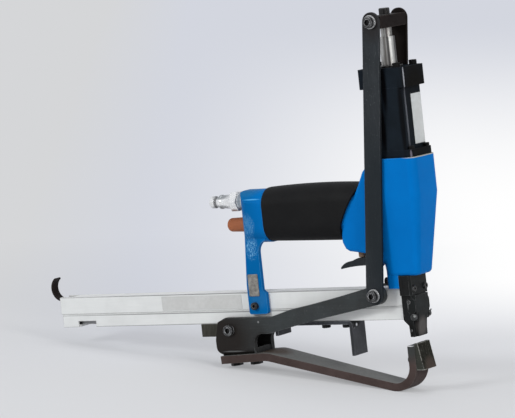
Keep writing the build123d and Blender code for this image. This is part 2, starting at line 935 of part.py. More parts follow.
# Small blank plate and screw on the leg, and the screw behind the head
with BuildPart() as leg_plate:
    with BuildSketch(moved(SIDE, 0, 0, magazine_half + leg_thick)):
        with Locations(((plate_rear + plate_front) / 2, (plate_low + plate_high) / 2)):
            RectangleRounded(plate_front - plate_rear, plate_height, plate_corner)
    extrude(amount=plate_thick)
leg_plate.part.label = "leg_plate"
export_step(leg_plate.part, "parts/leg_plate.step")

with BuildPart() as case_screws:
    add(cap_screw(
        moved(SIDE, foot_screw_x, foot_screw_z, magazine_half + leg_thick),
        side_head, side_head_height, side_shank, leg_thick + sheet, side_key,
    ))
    add(cap_screw(
        moved(across(tab_rear, -1), -tab_screw_y, tab_screw_z),
        side_head, side_head_height, side_shank, tab_screw_length, side_key,
    ))
case_screws.part.label = "case_screws"
export_step(case_screws.part, "parts/case_screws.step")

# Air plug: threaded end in the handle, collar, hexagon and the plug's own profile
with BuildPart() as air_plug:
    plug_plane = moved(across(handle_rear, -1), 0, inlet_z)
    with BuildSketch(Plane(origin=plug_plane.origin, x_dir=plug_plane.z_dir, z_dir=(0, 1, 0))):
        with BuildLine():
            Polyline(
                (-port_depth, plug_bore),
                (-port_depth, plug_thread),
                (0, plug_thread),
                (0, plug_collar),
                (plug_collar_length, plug_collar),
                (plug_collar_length, plug_body_root),
                (plug_hex_end, plug_body_root),
                (plug_ridge_start - plug_ridge_slope, plug_body),
                (plug_ridge_start, plug_ridge),
                (plug_ridge_end, plug_ridge),
                (plug_waist_start, plug_waist),
                (plug_waist_end, plug_waist),
                (plug_tip_start, plug_tip),
                (plug_tip_end, plug_tip),
                (plug_length, plug_tip - plug_tip_chamfer),
                (plug_length, plug_bore),
                close=True,
            )
        make_face()
    revolve(axis=Axis(plug_plane.origin, plug_plane.z_dir))
    with BuildSketch(moved(plug_plane, 0, 0, plug_collar_length)):
        RegularPolygon(plug_flats / 2, 6, major_radius=False)
        Circle(plug_bore, mode=Mode.SUBTRACT)
    extrude(amount=plug_hex_length)
air_plug.part.label = "air_plug"
export_step(air_plug.part, "parts/air_plug.step")

# Sintered bronze silencer, slightly conical, with a domed end
with BuildPart() as silencer:
    with BuildSketch(quiet_plane):
        Circle(silencer_thread)
    extrude(amount=-port_depth)
    with BuildSketch(quiet_plane):
        Circle(silencer_radius)
    extrude(amount=silencer_length, taper=silencer_taper)
    silencer_end = silencer.faces().sort_by(Axis(quiet_plane.origin, quiet_plane.z_dir))[-1]
    fillet(silencer_end.edges(), radius=silencer_dome)
silencer.part.label = "silencer"
export_step(silencer.part, "parts/silencer.step")

# Drive cylinder inside the head
with BuildPart() as cylinder_liner:
    with BuildSketch(moved(DECK, 0, 0, liner_low)):
        Circle(liner_outer)
        Circle(drive_bore, mode=Mode.SUBTRACT)
    extrude(amount=head_top - liner_low)
cylinder_liner.part.label = "cylinder_liner"
export_step(cylinder_liner.part, "parts/cylinder_liner.step")

with BuildPart() as drive_bumper:
    with BuildSketch(moved(DECK, 0, 0, liner_low)):
        Circle(drive_bore - screw_fit)
        Circle(bumper_hole, mode=Mode.SUBTRACT)
    extrude(amount=bumper_height)
drive_bumper.part.label = "drive_bumper"
export_step(drive_bumper.part, "parts/drive_bumper.step")

with BuildPart() as drive_piston:
    with BuildSketch(moved(DECK, 0, 0, piston_low)):
        Circle(drive_bore - run_fit)
    extrude(amount=piston_height)
    with BuildSketch(moved(DECK, 0, 0, ring_low)):
        Circle(drive_bore - run_fit)
        Circle(drive_bore - run_fit - ring_depth, mode=Mode.SUBTRACT)
    extrude(amount=ring_height, mode=Mode.SUBTRACT)
    with BuildSketch(moved(DECK, drive_x, 0, piston_low)):
        Rectangle(blade_thick + 2 * screw_fit, blade_width + 2 * screw_fit)
    extrude(amount=blade_end - piston_low, mode=Mode.SUBTRACT)
    with BuildSketch(across(drive_x)):
        with Locations((0, blade_pin_z)):
            Circle(blade_pin_radius + screw_fit)
    extrude(amount=2 * drive_bore, both=True, mode=Mode.SUBTRACT)
drive_piston.part.label = "drive_piston"
export_step(drive_piston.part, "parts/drive_piston.step")

with BuildPart() as piston_ring:
    with BuildSketch(moved(DECK, 0, 0, ring_low)):
        Circle(drive_bore - run_fit)
        Circle(drive_bore - run_fit - ring_depth + screw_fit, mode=Mode.SUBTRACT)
    extrude(amount=ring_height)
piston_ring.part.label = "piston_ring"
export_step(piston_ring.part, "parts/piston_ring.step")

with BuildPart() as driver_blade:
    with BuildSketch(moved(DECK, drive_x, 0, blade_tip)):
        Rectangle(blade_thick, blade_width)
    extrude(amount=blade_end - blade_tip)
    with BuildSketch(across(drive_x)):
        with Locations((0, blade_pin_z)):
            Circle(blade_pin_radius + screw_fit)
    extrude(amount=blade_thick, both=True, mode=Mode.SUBTRACT)
driver_blade.part.label = "driver_blade"
export_step(driver_blade.part, "parts/driver_blade.step")

with BuildPart() as blade_pin:
    with BuildSketch(across(0)):
        with Locations((0, blade_pin_z)):
            Circle(blade_pin_radius)
    extrude(amount=blade_pin_half, both=True)
blade_pin.part.label = "blade_pin"
export_step(blade_pin.part, "parts/blade_pin.step")

# Clamp cylinder on top of the head: base flange, barrel, cover, tie screws
with BuildPart() as clamp_base:
    with BuildSketch(moved(DECK, 0, 0, head_top)):
        RectangleRounded(flange_length, barrel_width, barrel_corner)
        with GridLocations(2 * flange_screw_x, 2 * flange_screw_y, 2, 2):
            Circle(flange_screw_shank + screw_fit, mode=Mode.SUBTRACT)
    extrude(amount=base_thick)
    with BuildSketch(moved(DECK, 0, 0, base_high)):
        with GridLocations(2 * tie_x, 2 * tie_y, 2, 2):
            Circle(tie_shank + screw_fit)
    extrude(amount=tie_end - base_high, mode=Mode.SUBTRACT)
clamp_base.part.label = "clamp_base"
export_step(clamp_base.part, "parts/clamp_base.step")

with BuildPart() as base_screws:
    for side_x in (-flange_screw_x, flange_screw_x):
        for side_y in (-flange_screw_y, flange_screw_y):
            add(cap_screw(
                moved(DECK, side_x, side_y, base_high), flange_screw_head, flange_screw_head_height,
                flange_screw_shank, flange_screw_length, flange_screw_key,
            ))
base_screws.part.label = "base_screws"
export_step(base_screws.part, "parts/base_screws.step")

with BuildPart() as clamp_barrel:
    with BuildSketch(moved(DECK, 0, 0, base_high)):
        RectangleRounded(barrel_length, barrel_width, barrel_corner)
        Circle(clamp_bore, mode=Mode.SUBTRACT)
        with GridLocations(2 * tie_x, 2 * tie_y, 2, 2):
            Circle(tie_shank + screw_fit, mode=Mode.SUBTRACT)
        with Locations((barrel_length / 2, groove_y)):
            Rectangle(2 * groove_depth, groove_width, mode=Mode.SUBTRACT)
    extrude(amount=barrel_height)
clamp_barrel.part.label = "clamp_barrel"
export_step(clamp_barrel.part, "parts/clamp_barrel.step")

with BuildPart() as clamp_cover:
    with BuildSketch(moved(DECK, 0, 0, cover_low)):
        RectangleRounded(flange_length, barrel_width, barrel_corner)
        Circle(rod_radius + slide_gap, mode=Mode.SUBTRACT)
        with GridLocations(2 * tie_x, 2 * tie_y, 2, 2):
            Circle(tie_shank + screw_fit, mode=Mode.SUBTRACT)
    extrude(amount=cover_thick)
    with BuildSketch(moved(DECK, 0, 0, cover_high)):
        Circle(bush_radius + screw_fit)
    extrude(amount=-bush_length, mode=Mode.SUBTRACT)
clamp_cover.part.label = "clamp_cover"
export_step(clamp_cover.part, "parts/clamp_cover.step")

with BuildPart() as clamp_screws:
    for side_x in (-tie_x, tie_x):
        for side_y in (-tie_y, tie_y):
            add(cap_screw(
                moved(DECK, side_x, side_y, cover_high), tie_head, tie_head_height,
                tie_shank, cover_high - tie_end, tie_key,
            ))
clamp_screws.part.label = "clamp_screws"
export_step(clamp_screws.part, "parts/clamp_screws.step")

with BuildPart() as clamp_label:
    with BuildSketch(across(barrel_length / 2)):
        with Locations(((label_right + label_left) / 2, (label_low + label_high) / 2)):
            Rectangle(label_left - label_right, label_high - label_low)
    extrude(amount=label_thick)
clamp_label.part.label = "clamp_label"
export_step(clamp_label.part, "parts/clamp_label.step")

with BuildPart() as rod_bush:
    with BuildSketch(moved(DECK, 0, 0, cover_high)):
        Circle(bush_radius)
    extrude(amount=-bush_length)
    with BuildSketch(moved(DECK, 0, 0, cover_high)):
        Circle(bush_collar)
    extrude(amount=bush_collar_height)
    with BuildSketch(moved(DECK, 0, 0, cover_high - bush_length)):
        Circle(rod_radius + run_fit)
    extrude(amount=bush_length + bush_collar_height, mode=Mode.SUBTRACT)
rod_bush.part.label = "rod_bush"
export_step(rod_bush.part, "parts/rod_bush.step")

# Piston, rod and crosshead of the clamp cylinder
with BuildPart() as clamp_piston:
    with BuildSketch(moved(DECK, 0, 0, base_high + clamp_piston_gap)):
        Circle(clamp_bore - run_fit)
    extrude(amount=clamp_piston_height)
clamp_piston.part.label = "clamp_piston"
export_step(clamp_piston.part, "parts/clamp_piston.step")

with BuildPart() as clamp_rod:
    with BuildSketch(moved(DECK, 0, 0, rod_low)):
        Circle(rod_radius)
    extrude(amount=rod_shoulder - rod_low)
    with BuildSketch(moved(DECK, 0, 0, rod_shoulder)):
        Circle(rod_neck)
    extrude(amount=neck_length)
    with BuildSketch(moved(DECK, 0, 0, crosshead_low)):
        Circle(rod_spigot)
    extrude(amount=spigot_length)
    with BuildSketch(moved(DECK, 0, 0, rod_end)):
        Circle(cap_shank + screw_fit)
    extrude(amount=cap_flat - cap_length - rod_end, mode=Mode.SUBTRACT)
clamp_rod.part.label = "clamp_rod"
export_step(clamp_rod.part, "parts/clamp_rod.step")

with BuildPart() as crosshead:
    with BuildSketch(SIDE):
        with Locations((0, crosshead_low)):
            Rectangle(2 * crosshead_reach, cap_flat - crosshead_low, align=(Align.CENTER, Align.MIN))
    extrude(amount=crosshead_half, both=True)
    with BuildSketch(moved(DECK, 0, 0, crosshead_low)):
        Circle(rod_spigot + screw_fit)
    extrude(amount=spigot_length, mode=Mode.SUBTRACT)
    with BuildSketch(moved(DECK, 0, 0, rod_end)):
        Circle(cap_shank + screw_fit)
    extrude(amount=cap_flat - rod_end, mode=Mode.SUBTRACT)
    with BuildSketch(moved(SIDE, 0, link_top_z, crosshead_half)):
        Circle(pivot_shank + screw_fit)
    extrude(amount=crosshead_screw_end - crosshead_half, mode=Mode.SUBTRACT)
    with BuildSketch(moved(SIDE, 0, link_top_z, -crosshead_half)):
        Circle(pivot_shank + screw_fit)
    extrude(amount=crosshead_half - crosshead_screw_end, mode=Mode.SUBTRACT)
crosshead.part.label = "crosshead"
export_step(crosshead.part, "parts/crosshead.step")

with BuildPart() as crosshead_screw:
    add(cap_screw(moved(DECK, 0, 0, cap_flat), cap_head, cap_head_height, cap_shank, cap_length, cap_key))
crosshead_screw.part.label = "crosshead_screw"
export_step(crosshead_screw.part, "parts/crosshead_screw.step")

# Pivots at both ends of the links
with BuildPart() as top_screws:
    add(cap_screw(
        moved(SIDE, 0, link_top_z, head_seat), pivot_head, pivot_head_height,
        pivot_shank, head_seat - crosshead_screw_end, pivot_key,
    ))
    mirror(about=MIDDLE)
top_screws.part.label = "top_screws"
export_step(top_screws.part, "parts/top_screws.step")

with BuildPart() as top_washers:
    add(washer(moved(SIDE, 0, link_top_z, washer_seat), pivot_shank + screw_fit))
    mirror(about=MIDDLE)
top_washers.part.label = "top_washers"
export_step(top_washers.part, "parts/top_washers.step")

with BuildPart() as low_screws:
    add(cap_screw(
        moved(SIDE, link_low_x, link_low_z, head_seat), pivot_head, pivot_head_height,
        pivot_shank, head_seat - arms_inner, pivot_key,
    ))
    mirror(about=MIDDLE)
low_screws.part.label = "low_screws"
export_step(low_screws.part, "parts/low_screws.step")

with BuildPart() as low_washers:
    add(washer(moved(SIDE, link_low_x, link_low_z, washer_seat), pivot_shank + screw_fit))
    mirror(about=MIDDLE)
low_washers.part.label = "low_washers"
export_step(low_washers.part, "parts/low_washers.step")

with BuildPart() as link_right:
    add(link_plate(pivot_shank + open_pivot_fit))
link_right.part.label = "link_right"
export_step(link_right.part, "parts/link_right.step")

with BuildPart() as link_left:
    add(mirror(link_plate(pivot_shank + open_pivot_fit), about=MIDDLE, mode=Mode.PRIVATE))
link_left.part.label = "link_left"
export_step(link_left.part, "parts/link_left.step")

# Section across the lever's web, just behind its rear end
web_section = Plane(
    origin=WEB.from_local_coords((lever_rear - arm_rear - plate, 0, 0)), x_dir=(0, 1, 0), z_dir=WEB.x_dir
)

# Lever: two cheeks joggled outward into arms, joined by a web that carries the anvil arm
with BuildPart() as lever:
    with BuildSketch(SIDE) as cheek_shape:
        with BuildLine():
            SagittaArc(
                (link_low_x - round_run, link_low_z + round_rise),
                (pivot_x + lever_shoulder_run, pivot_z + lever_shoulder_rise),
                lever_hollow,
            )
            Polyline(
                (pivot_x + lever_shoulder_run, pivot_z + lever_shoulder_rise),
                (pivot_x + lever_back_end, pivot_z + lever_back_rise),
                (pivot_x - lever_back_start, pivot_z + lever_back_rise),
                (pivot_x - lever_corner_run, pivot_z + lever_corner_rise),
                (lever_rear, pivot_z - lever_tail_drop),
                (lever_rear, web_under(lever_rear)),
                (notch_x, web_under(notch_x)),
                (notch_x, notch_z - notch_radius),
            )
            RadiusArc((notch_x, notch_z - notch_radius), (notch_x + notch_radius, notch_z), notch_radius)
            Polyline(
                (notch_x + notch_radius, notch_z),
                (pivot_x + lever_step_run, pivot_z - lever_step_drop),
                (pivot_x + lever_knee_run, pivot_z + lever_knee_rise),
                (link_low_x + round_run, link_low_z - round_rise),
            )
            RadiusArc(
                (link_low_x + round_run, link_low_z - round_rise),
                (link_low_x - round_run, link_low_z + round_rise),
                -lever_round,
            )
        make_face()
        rear_corners = cheek_shape.vertices().group_by(Axis.X)[0].sort_by(Axis.Y)
        fillet(rear_corners[0], radius=lever_tail_round)
    extrude(amount=arms_inner + plate, both=True)
    with BuildSketch(moved(DECK, 0, 0, web_under(lever_rear) - plate)):
        Polygon(
            (lever_rear, -cheek_inner), (joggle_rear, -cheek_inner), (joggle_front, -arms_inner),
            (0, -arms_inner), (0, -arms_inner - plate), (joggle_front, -arms_inner - plate),
            (joggle_rear, -cheek_inner - plate), (lever_rear, -cheek_inner - plate), align=None,
        )
        mirror(about=Plane.XZ)
    extrude(amount=lever_front_top - web_under(lever_rear) + 2 * plate, mode=Mode.INTERSECT)
    with BuildSketch(moved(WEB, 0, 0, arm_thick)):
        Rectangle(
            (notch_x - arm_rear) / cos(radians(base_slope)), 2 * cheek_inner, align=(Align.MIN, Align.CENTER)
        )
    extrude(amount=plate)
    with BuildSketch(web_section):
        with Locations((0, arm_thick)):
            Rectangle(4 * arms_inner, web_bend, align=(Align.CENTER, Align.MIN))
            RectangleRounded(
                2 * (cheek_inner + plate), 4 * web_bend, web_bend,
                align=(Align.CENTER, Align.MIN), mode=Mode.SUBTRACT,
            )
    extrude(amount=notch_x - lever_rear + plate, mode=Mode.SUBTRACT)
    with BuildSketch(moved(SIDE, pivot_x, pivot_z)):
        Circle(pivot_shank + run_fit)
    extrude(amount=arms_inner + plate, both=True, mode=Mode.SUBTRACT)
    with BuildSketch(moved(SIDE, link_low_x, link_low_z)):
        Circle(pivot_shank + screw_fit)
    extrude(amount=arms_inner + plate, both=True, mode=Mode.SUBTRACT)
    with BuildSketch(moved(WEB, 0, 0, arm_thick)):
        with Locations((arm_bolt_rear, 0), (arm_bolt_front, 0)):
            Circle(arm_bolt_shank + screw_fit)
    extrude(amount=plate, mode=Mode.SUBTRACT)
lever.part.label = "lever"
export_step(lever.part, "parts/lever.step")

# Anvil arm: a flat bar bent once under the lever and once more up into the toe
with BuildPart() as anvil_arm:
    toe_low = bend_low - (toe_front - arm_bend) * tan(radians(arm_slope))
    with BuildSketch(SIDE):
        with BuildLine():
            FilletPolyline(
                (arm_rear, arm_rear_low), (arm_bend, bend_low), (toe_front, toe_low), (toe_front, arm_tip),
                radius=[arm_bend_radius, toe_radius],
            )
            offset(amount=arm_thick, side=Side.LEFT)
        make_face()
    extrude(amount=arm_rear_half, both=True)
    with BuildSketch(moved(DECK, 0, 0, toe_low - arm_thick)):
        Polygon(
            (arm_rear - arm_thick, -arm_rear_half),
            (arm_bend, -arm_rear_half),
            (arm_taper_front, -arm_front_half),
            (toe_front, -arm_front_half),
            (toe_front, arm_front_half),
            (arm_taper_front, arm_front_half),
            (arm_bend, arm_rear_half),
            (arm_rear - arm_thick, arm_rear_half),
            align=None,
        )
    extrude(amount=arm_tip - toe_low + 2 * arm_thick, mode=Mode.INTERSECT)
    with BuildSketch(WEB):
        with Locations((arm_bolt_rear, 0), (arm_bolt_front, 0)):
            Circle(arm_bolt_shank + screw_fit)
    extrude(amount=arm_thick, mode=Mode.SUBTRACT)
    with BuildSketch(across(toe_front)):
        with Locations((-clinch_spread, pad_screw_z), (clinch_spread, pad_screw_z)):
            Circle(pad_screw_shank + screw_fit)
    extrude(amount=-arm_thick, mode=Mode.SUBTRACT)
anvil_arm.part.label = "anvil_arm"
export_step(anvil_arm.part, "parts/anvil_arm.step")

with BuildPart() as arm_bolts:
    bolt_length = arm_thick + plate + arm_bolt_end
    for run in (arm_bolt_rear, arm_bolt_front):
        bolt_seat = Plane(origin=WEB.from_local_coords((run, 0, 0)), x_dir=WEB.x_dir, z_dir=-WEB.z_dir)
        add(hex_bolt(bolt_seat, arm_bolt_flats, arm_bolt_head, arm_bolt_shank, bolt_length))
arm_bolts.part.label = "arm_bolts"
export_step(arm_bolts.part, "parts/arm_bolts.step")

# Anvil pad on the toe, with two clinching grooves under the driver blade
with BuildPart() as anvil_pad:
    with BuildSketch(SIDE):
        Polygon(
            (toe_front, pad_top),
            (toe_front + pad_top_thick, pad_top),
            (pad_low_front, pad_low),
            (toe_front, pad_low),
            align=None,
        )
    extrude(amount=pad_half, both=True)
    clinch_z = pad_top + clinch_radius - clinch_depth
    for groove_side in (-clinch_spread, clinch_spread):
        with BuildSketch(moved(SIDE, drive_x, clinch_z, groove_side)):
            Circle(clinch_radius)
        extrude(amount=clinch_half, both=True, mode=Mode.SUBTRACT)
    with BuildSketch(across(toe_front)):
        with Locations((-clinch_spread, pad_screw_z), (clinch_spread, pad_screw_z)):
            Circle(pad_screw_shank + screw_fit)
    extrude(amount=pad_screw_depth, mode=Mode.SUBTRACT)
anvil_pad.part.label = "anvil_pad"
export_step(anvil_pad.part, "parts/anvil_pad.step")

with BuildPart() as pad_screws:
    add(cap_screw(
        moved(across(toe_front - arm_thick, -1), clinch_spread, pad_screw_z), pad_screw_head,
        pad_screw_head_height, pad_screw_shank, arm_thick + pad_screw_depth, pad_screw_key,
    ))
    mirror(about=MIDDLE)
pad_screws.part.label = "pad_screws"
export_step(pad_screws.part, "parts/pad_screws.step")

# Pivot block under the magazine and its screws
with BuildPart() as pivot_block:
    with BuildSketch(moved(DECK, block_rear, 0)):
        RectangleRounded(
            block_front - block_rear, 2 * block_half, block_corner, align=(Align.MIN, Align.CENTER)
        )
    extrude(amount=-block_depth)
    with BuildSketch(moved(SIDE, pivot_x, pivot_z)):
        Circle(pivot_shank + screw_fit)
    extrude(amount=block_half, both=True, mode=Mode.SUBTRACT)
    with BuildSketch(DECK):
        with Locations((block_screw_rear, 0), (block_screw_front, 0)):
            Circle(under_shank + screw_fit)
    extrude(amount=-block_depth, mode=Mode.SUBTRACT)
    with BuildSketch(moved(DECK, 0, 0, -block_depth)):
        with Locations((block_screw_rear, 0), (block_screw_front, 0)):
            Circle(under_head + slide_gap)
    extrude(amount=under_head_height + slide_gap, mode=Mode.SUBTRACT)
pivot_block.part.label = "pivot_block"
export_step(pivot_block.part, "parts/pivot_block.step")

with BuildPart() as pivot_screws:
    add(cap_screw(
        moved(SIDE, pivot_x, pivot_z, cheek_inner + plate + slide_gap), pivot_head, pivot_head_height,
        pivot_shank, cheek_inner + plate + slide_gap - pivot_screw_end, pivot_key,
    ))
    mirror(about=MIDDLE)
pivot_screws.part.label = "pivot_screws"
export_step(pivot_screws.part, "parts/pivot_screws.step")


def under_screw(x, seat_z):
    """Socket screw driven up into the magazine from below."""
    seat = Plane(origin=DECK.from_local_coords((x, 0, seat_z)), x_dir=DECK.x_dir, z_dir=-DECK.z_dir)
    return cap_screw(seat, under_head, under_head_height, under_shank, under_screw_top - seat_z, under_key)


with BuildPart() as under_screws:
    for block_spot in (block_screw_rear, block_screw_front):
        add(under_screw(block_spot, under_head_height + slide_gap - block_depth))
    for stop_spot in (stop_bolt_rear, stop_bolt_front):
        add(under_screw(stop_spot, -stop_thick))
under_screws.part.label = "under_screws"
export_step(under_screws.part, "parts/under_screws.step")

# Stop plate: a strip bent down at both ends, which limits the arm's swing
with BuildPart() as stop_plate:
    with BuildSketch(SIDE):
        with BuildLine():
            FilletPolyline(
                (stop_front, -stop_front_drop),
                (stop_front, 0),
                (stop_rear, 0),
                (stop_rear, -stop_rear_drop),
                radius=stop_bend,
            )
            offset(amount=stop_thick, side=Side.LEFT)
        make_face()
    extrude(amount=stop_half, both=True)
    with BuildSketch(DECK):
        with Locations((stop_bolt_rear, 0), (stop_bolt_front, 0)):
            Circle(under_shank + screw_fit)
    extrude(amount=-stop_thick, mode=Mode.SUBTRACT)
    with BuildSketch(across(stop_front)):
        with Locations((stop_eye_y, -stop_eye_drop)):
            Circle(stop_eye_radius)
    extrude(amount=-stop_thick, mode=Mode.SUBTRACT)
stop_plate.part.label = "stop_plate"
export_step(stop_plate.part, "parts/stop_plate.step")

# Magazine: lower channel, upper cover, staple rail and the end block
under_screw_spots = [
    (block_screw_rear, 0), (block_screw_front, 0), (stop_bolt_rear, 0), (stop_bolt_front, 0),
]
with BuildPart() as magazine_rail:
    with BuildSketch(across(rail_rear)):
        Rectangle(2 * magazine_half, magazine_split, align=(Align.CENTER, Align.MIN))
        with Locations((0, rail_floor)):
            Rectangle(2 * inner_half, magazine_split, align=(Align.CENTER, Align.MIN), mode=Mode.SUBTRACT)
    extrude(amount=rail_length)
    split_edges = magazine_rail.edges().filter_by(Axis(SIDE.origin, SIDE.x_dir)).sort_by(Axis.Y)
    right_top = split_edges[:2].sort_by(Axis.Z)[-1]
    left_top = split_edges[-2:].sort_by(Axis.Z)[-1]
    chamfer([right_top, left_top], length=split_chamfer)
    with BuildSketch(SIDE):
        with Locations((window_rear, 0)):
            Rectangle(window_length, window_top, align=(Align.MIN, Align.MIN))
    extrude(amount=magazine_half, both=True, mode=Mode.SUBTRACT)
    with BuildSketch(DECK):
        with Locations(*under_screw_spots):
            Circle(under_shank + screw_fit)
    extrude(amount=rail_floor, mode=Mode.SUBTRACT)
magazine_rail.part.label = "magazine_rail"
export_step(magazine_rail.part, "parts/magazine_rail.step")

with BuildPart() as magazine_cover:
    with BuildSketch(across(cover_rear)):
        with Locations((0, magazine_split)):
            Rectangle(2 * magazine_half, magazine_top - magazine_split, align=(Align.CENTER, Align.MIN))
            Rectangle(
                2 * inner_half, inner_top - magazine_split,
                align=(Align.CENTER, Align.MIN), mode=Mode.SUBTRACT,
            )
    extrude(amount=magazine_front - cover_rear)
    long_edges = magazine_cover.edges().filter_by(Axis(SIDE.origin, SIDE.x_dir)).sort_by(Axis.Y)
    right_low = long_edges[:2].sort_by(Axis.Z)[0]
    left_low = long_edges[-2:].sort_by(Axis.Z)[0]
    chamfer([right_low, left_low], length=split_chamfer)
    with BuildSketch(moved(DECK, cover_rear, 0, magazine_top)):
        Rectangle(end_front - cover_rear, 2 * latch_slot_half, align=(Align.MIN, Align.CENTER))
    extrude(amount=-sheet, mode=Mode.SUBTRACT)
    with BuildSketch(moved(SIDE, foot_screw_x, foot_screw_z, magazine_half)):
        Circle(side_shank + screw_fit)
    extrude(amount=-sheet, mode=Mode.SUBTRACT)
magazine_cover.part.label = "magazine_cover"
export_step(magazine_cover.part, "parts/magazine_cover.step")

with BuildPart() as magazine_label:
    with BuildSketch(moved(SIDE, 0, 0, magazine_half)):
        with Locations(((name_rear + name_front) / 2, (name_low + name_high) / 2)):
            Rectangle(name_length, name_high - name_low)
    extrude(amount=label_thick)
magazine_label.part.label = "magazine_label"
export_step(magazine_label.part, "parts/magazine_label.step")

with BuildPart() as staple_rail:
    with BuildSketch(across(end_front)):
        with Locations((0, rail_floor)):
            Rectangle(2 * staple_rail_half, staple_rail_top - rail_floor, align=(Align.CENTER, Align.MIN))
    extrude(amount=magazine_front - end_front)
    with BuildSketch(moved(DECK, 0, 0, rail_floor)):
        with Locations(*under_screw_spots):
            Circle(under_shank + screw_fit)
    extrude(amount=under_screw_top - rail_floor, mode=Mode.SUBTRACT)
staple_rail.part.label = "staple_rail"
export_step(staple_rail.part, "parts/staple_rail.step")

with BuildPart() as magazine_end:
    with BuildSketch(across(rail_rear)):
        with Locations((0, rail_floor)):
            Rectangle(2 * inner_half, inner_top - rail_floor, align=(Align.CENTER, Align.MIN))
        with Locations((0, latch_z - latch_eye - slide_gap)):
            Rectangle(2 * latch_slot_half, magazine_top, align=(Align.CENTER, Align.MIN), mode=Mode.SUBTRACT)
    extrude(amount=end_length)
    with BuildSketch(moved(SIDE, latch_x, latch_z)):
        Circle(latch_pin_radius + screw_fit)
    extrude(amount=inner_half, both=True, mode=Mode.SUBTRACT)
magazine_end.part.label = "magazine_end"
export_step(magazine_end.part, "parts/magazine_end.step")

# Rear latch: a curled strip on a pin
with BuildPart() as latch_pin:
    with BuildSketch(moved(SIDE, latch_x, latch_z)):
        Circle(latch_pin_radius)
    extrude(amount=inner_half, both=True)
latch_pin.part.label = "latch_pin"
export_step(latch_pin.part, "parts/latch_pin.step")

with BuildPart() as rear_latch:
    with BuildSketch(SIDE):
        with BuildLine():
            foot_line = Line((latch_x, latch_foot_z), (latch_curl_x, latch_foot_z))
            TangentArc(
                foot_line @ 1, (latch_curl_x - curl_reach, latch_foot_z + curl_height), tangent=foot_line % 1
            )
            offset(amount=latch_strip, side=Side.RIGHT)
        make_face()
        with Locations((latch_x, latch_z)):
            Circle(latch_eye)
            Circle(latch_pin_radius + run_fit, mode=Mode.SUBTRACT)
    extrude(amount=latch_half, both=True)
rear_latch.part.label = "rear_latch"
export_step(rear_latch.part, "parts/rear_latch.step")

# Staple pusher: a saddle on the staple rail with the drawn spring's roll in it
with BuildPart() as pusher:
    with BuildSketch(across(pusher_rear)):
        with Locations((0, pusher_low)):
            Rectangle(2 * pusher_half, pusher_top - pusher_low, align=(Align.CENTER, Align.MIN))
            Rectangle(
                2 * (staple_rail_half + slide_gap), staple_rail_top + slide_gap - pusher_low,
                align=(Align.CENTER, Align.MIN), mode=Mode.SUBTRACT,
            )
    extrude(amount=pusher_length)
    with BuildSketch(across(pusher_rear)):
        with Locations((0, staple_rail_top)):
            Rectangle(2 * (roll_half + slide_gap), pusher_top, align=(Align.CENTER, Align.MIN))
    extrude(amount=pocket_length, mode=Mode.SUBTRACT)
    with BuildSketch(moved(SIDE, roll_x, roll_z)):
        Circle(roll_pin_radius + screw_fit)
    extrude(amount=pusher_half, both=True, mode=Mode.SUBTRACT)
pusher.part.label = "pusher"
export_step(pusher.part, "parts/pusher.step")

with BuildPart() as pusher_roll:
    with BuildSketch(moved(SIDE, roll_x, roll_z)):
        Circle(roll_radius)
        Circle(roll_pin_radius + screw_fit, mode=Mode.SUBTRACT)
    extrude(amount=roll_half, both=True)
pusher_roll.part.label = "pusher_roll"
export_step(pusher_roll.part, "parts/pusher_roll.step")

with BuildPart() as roll_pin:
    with BuildSketch(moved(SIDE, roll_x, roll_z)):
        Circle(roll_pin_radius)
    extrude(amount=pusher_half, both=True)
roll_pin.part.label = "roll_pin"
export_step(roll_pin.part, "parts/roll_pin.step")

# Trigger, its pin and the valve that it lifts
with BuildPart() as trigger:
    with BuildSketch(SIDE):
        with BuildLine():
            Polyline(
                (trigger_pin_x - trigger_flat, trigger_top),
                (trigger_pin_x - trigger_ridge_run, trigger_top - trigger_ridge_drop),
                (trigger_pin_x - trigger_step_run, trigger_top - trigger_step_drop),
            )
            SagittaArc(
                (trigger_pin_x - trigger_step_run, trigger_top - trigger_step_drop),
                (trigger_tip_x, trigger_tip_z),
                -trigger_bow,
            )
            Polyline(
                (trigger_tip_x, trigger_tip_z),
                (trigger_tip_x + trigger_lip_run, trigger_tip_z - trigger_lip_drop),
            )
            SagittaArc(
                (trigger_tip_x + trigger_lip_run, trigger_tip_z - trigger_lip_drop),
                (trigger_pin_x, trigger_pin_z - trigger_boss),
                finger_hollow,
            )
            Polyline(
                (trigger_pin_x, trigger_pin_z - trigger_boss),
                (trigger_pin_x, trigger_top),
                (trigger_pin_x - trigger_flat, trigger_top),
            )
        make_face()
        with Locations((trigger_pin_x, trigger_pin_z)):
            Circle(trigger_boss)
            Circle(trigger_pin_radius + run_fit, mode=Mode.SUBTRACT)
    extrude(amount=trigger_half, both=True)
trigger.part.label = "trigger"
export_step(trigger.part, "parts/trigger.step")

with BuildPart() as trigger_pin:
    with BuildSketch(moved(SIDE, trigger_pin_x, trigger_pin_z)):
        Circle(trigger_pin_radius)
    extrude(amount=trigger_pin_half, both=True)
trigger_pin.part.label = "trigger_pin"
export_step(trigger_pin.part, "parts/trigger_pin.step")

with BuildPart() as valve_body:
    with BuildSketch(moved(DECK, valve_x, 0, valve_low)):
        Circle(valve_radius)
    extrude(amount=valve_length)
    with BuildSketch(moved(DECK, valve_x, 0, valve_low)):
        Circle(stem_radius + run_fit)
    extrude(amount=stem_high + stem_room - valve_low, mode=Mode.SUBTRACT)
valve_body.part.label = "valve_body"
export_step(valve_body.part, "parts/valve_body.step")

with BuildPart() as valve_stem:
    with BuildSketch(moved(DECK, valve_x, 0, stem_low)):
        Circle(stem_radius)
    extrude(amount=stem_length)
    chamfer(valve_stem.faces().sort_by(Axis(DECK.origin, DECK.z_dir))[0].edges(), length=stem_chamfer)
valve_stem.part.label = "valve_stem"
export_step(valve_stem.part, "parts/valve_stem.step")

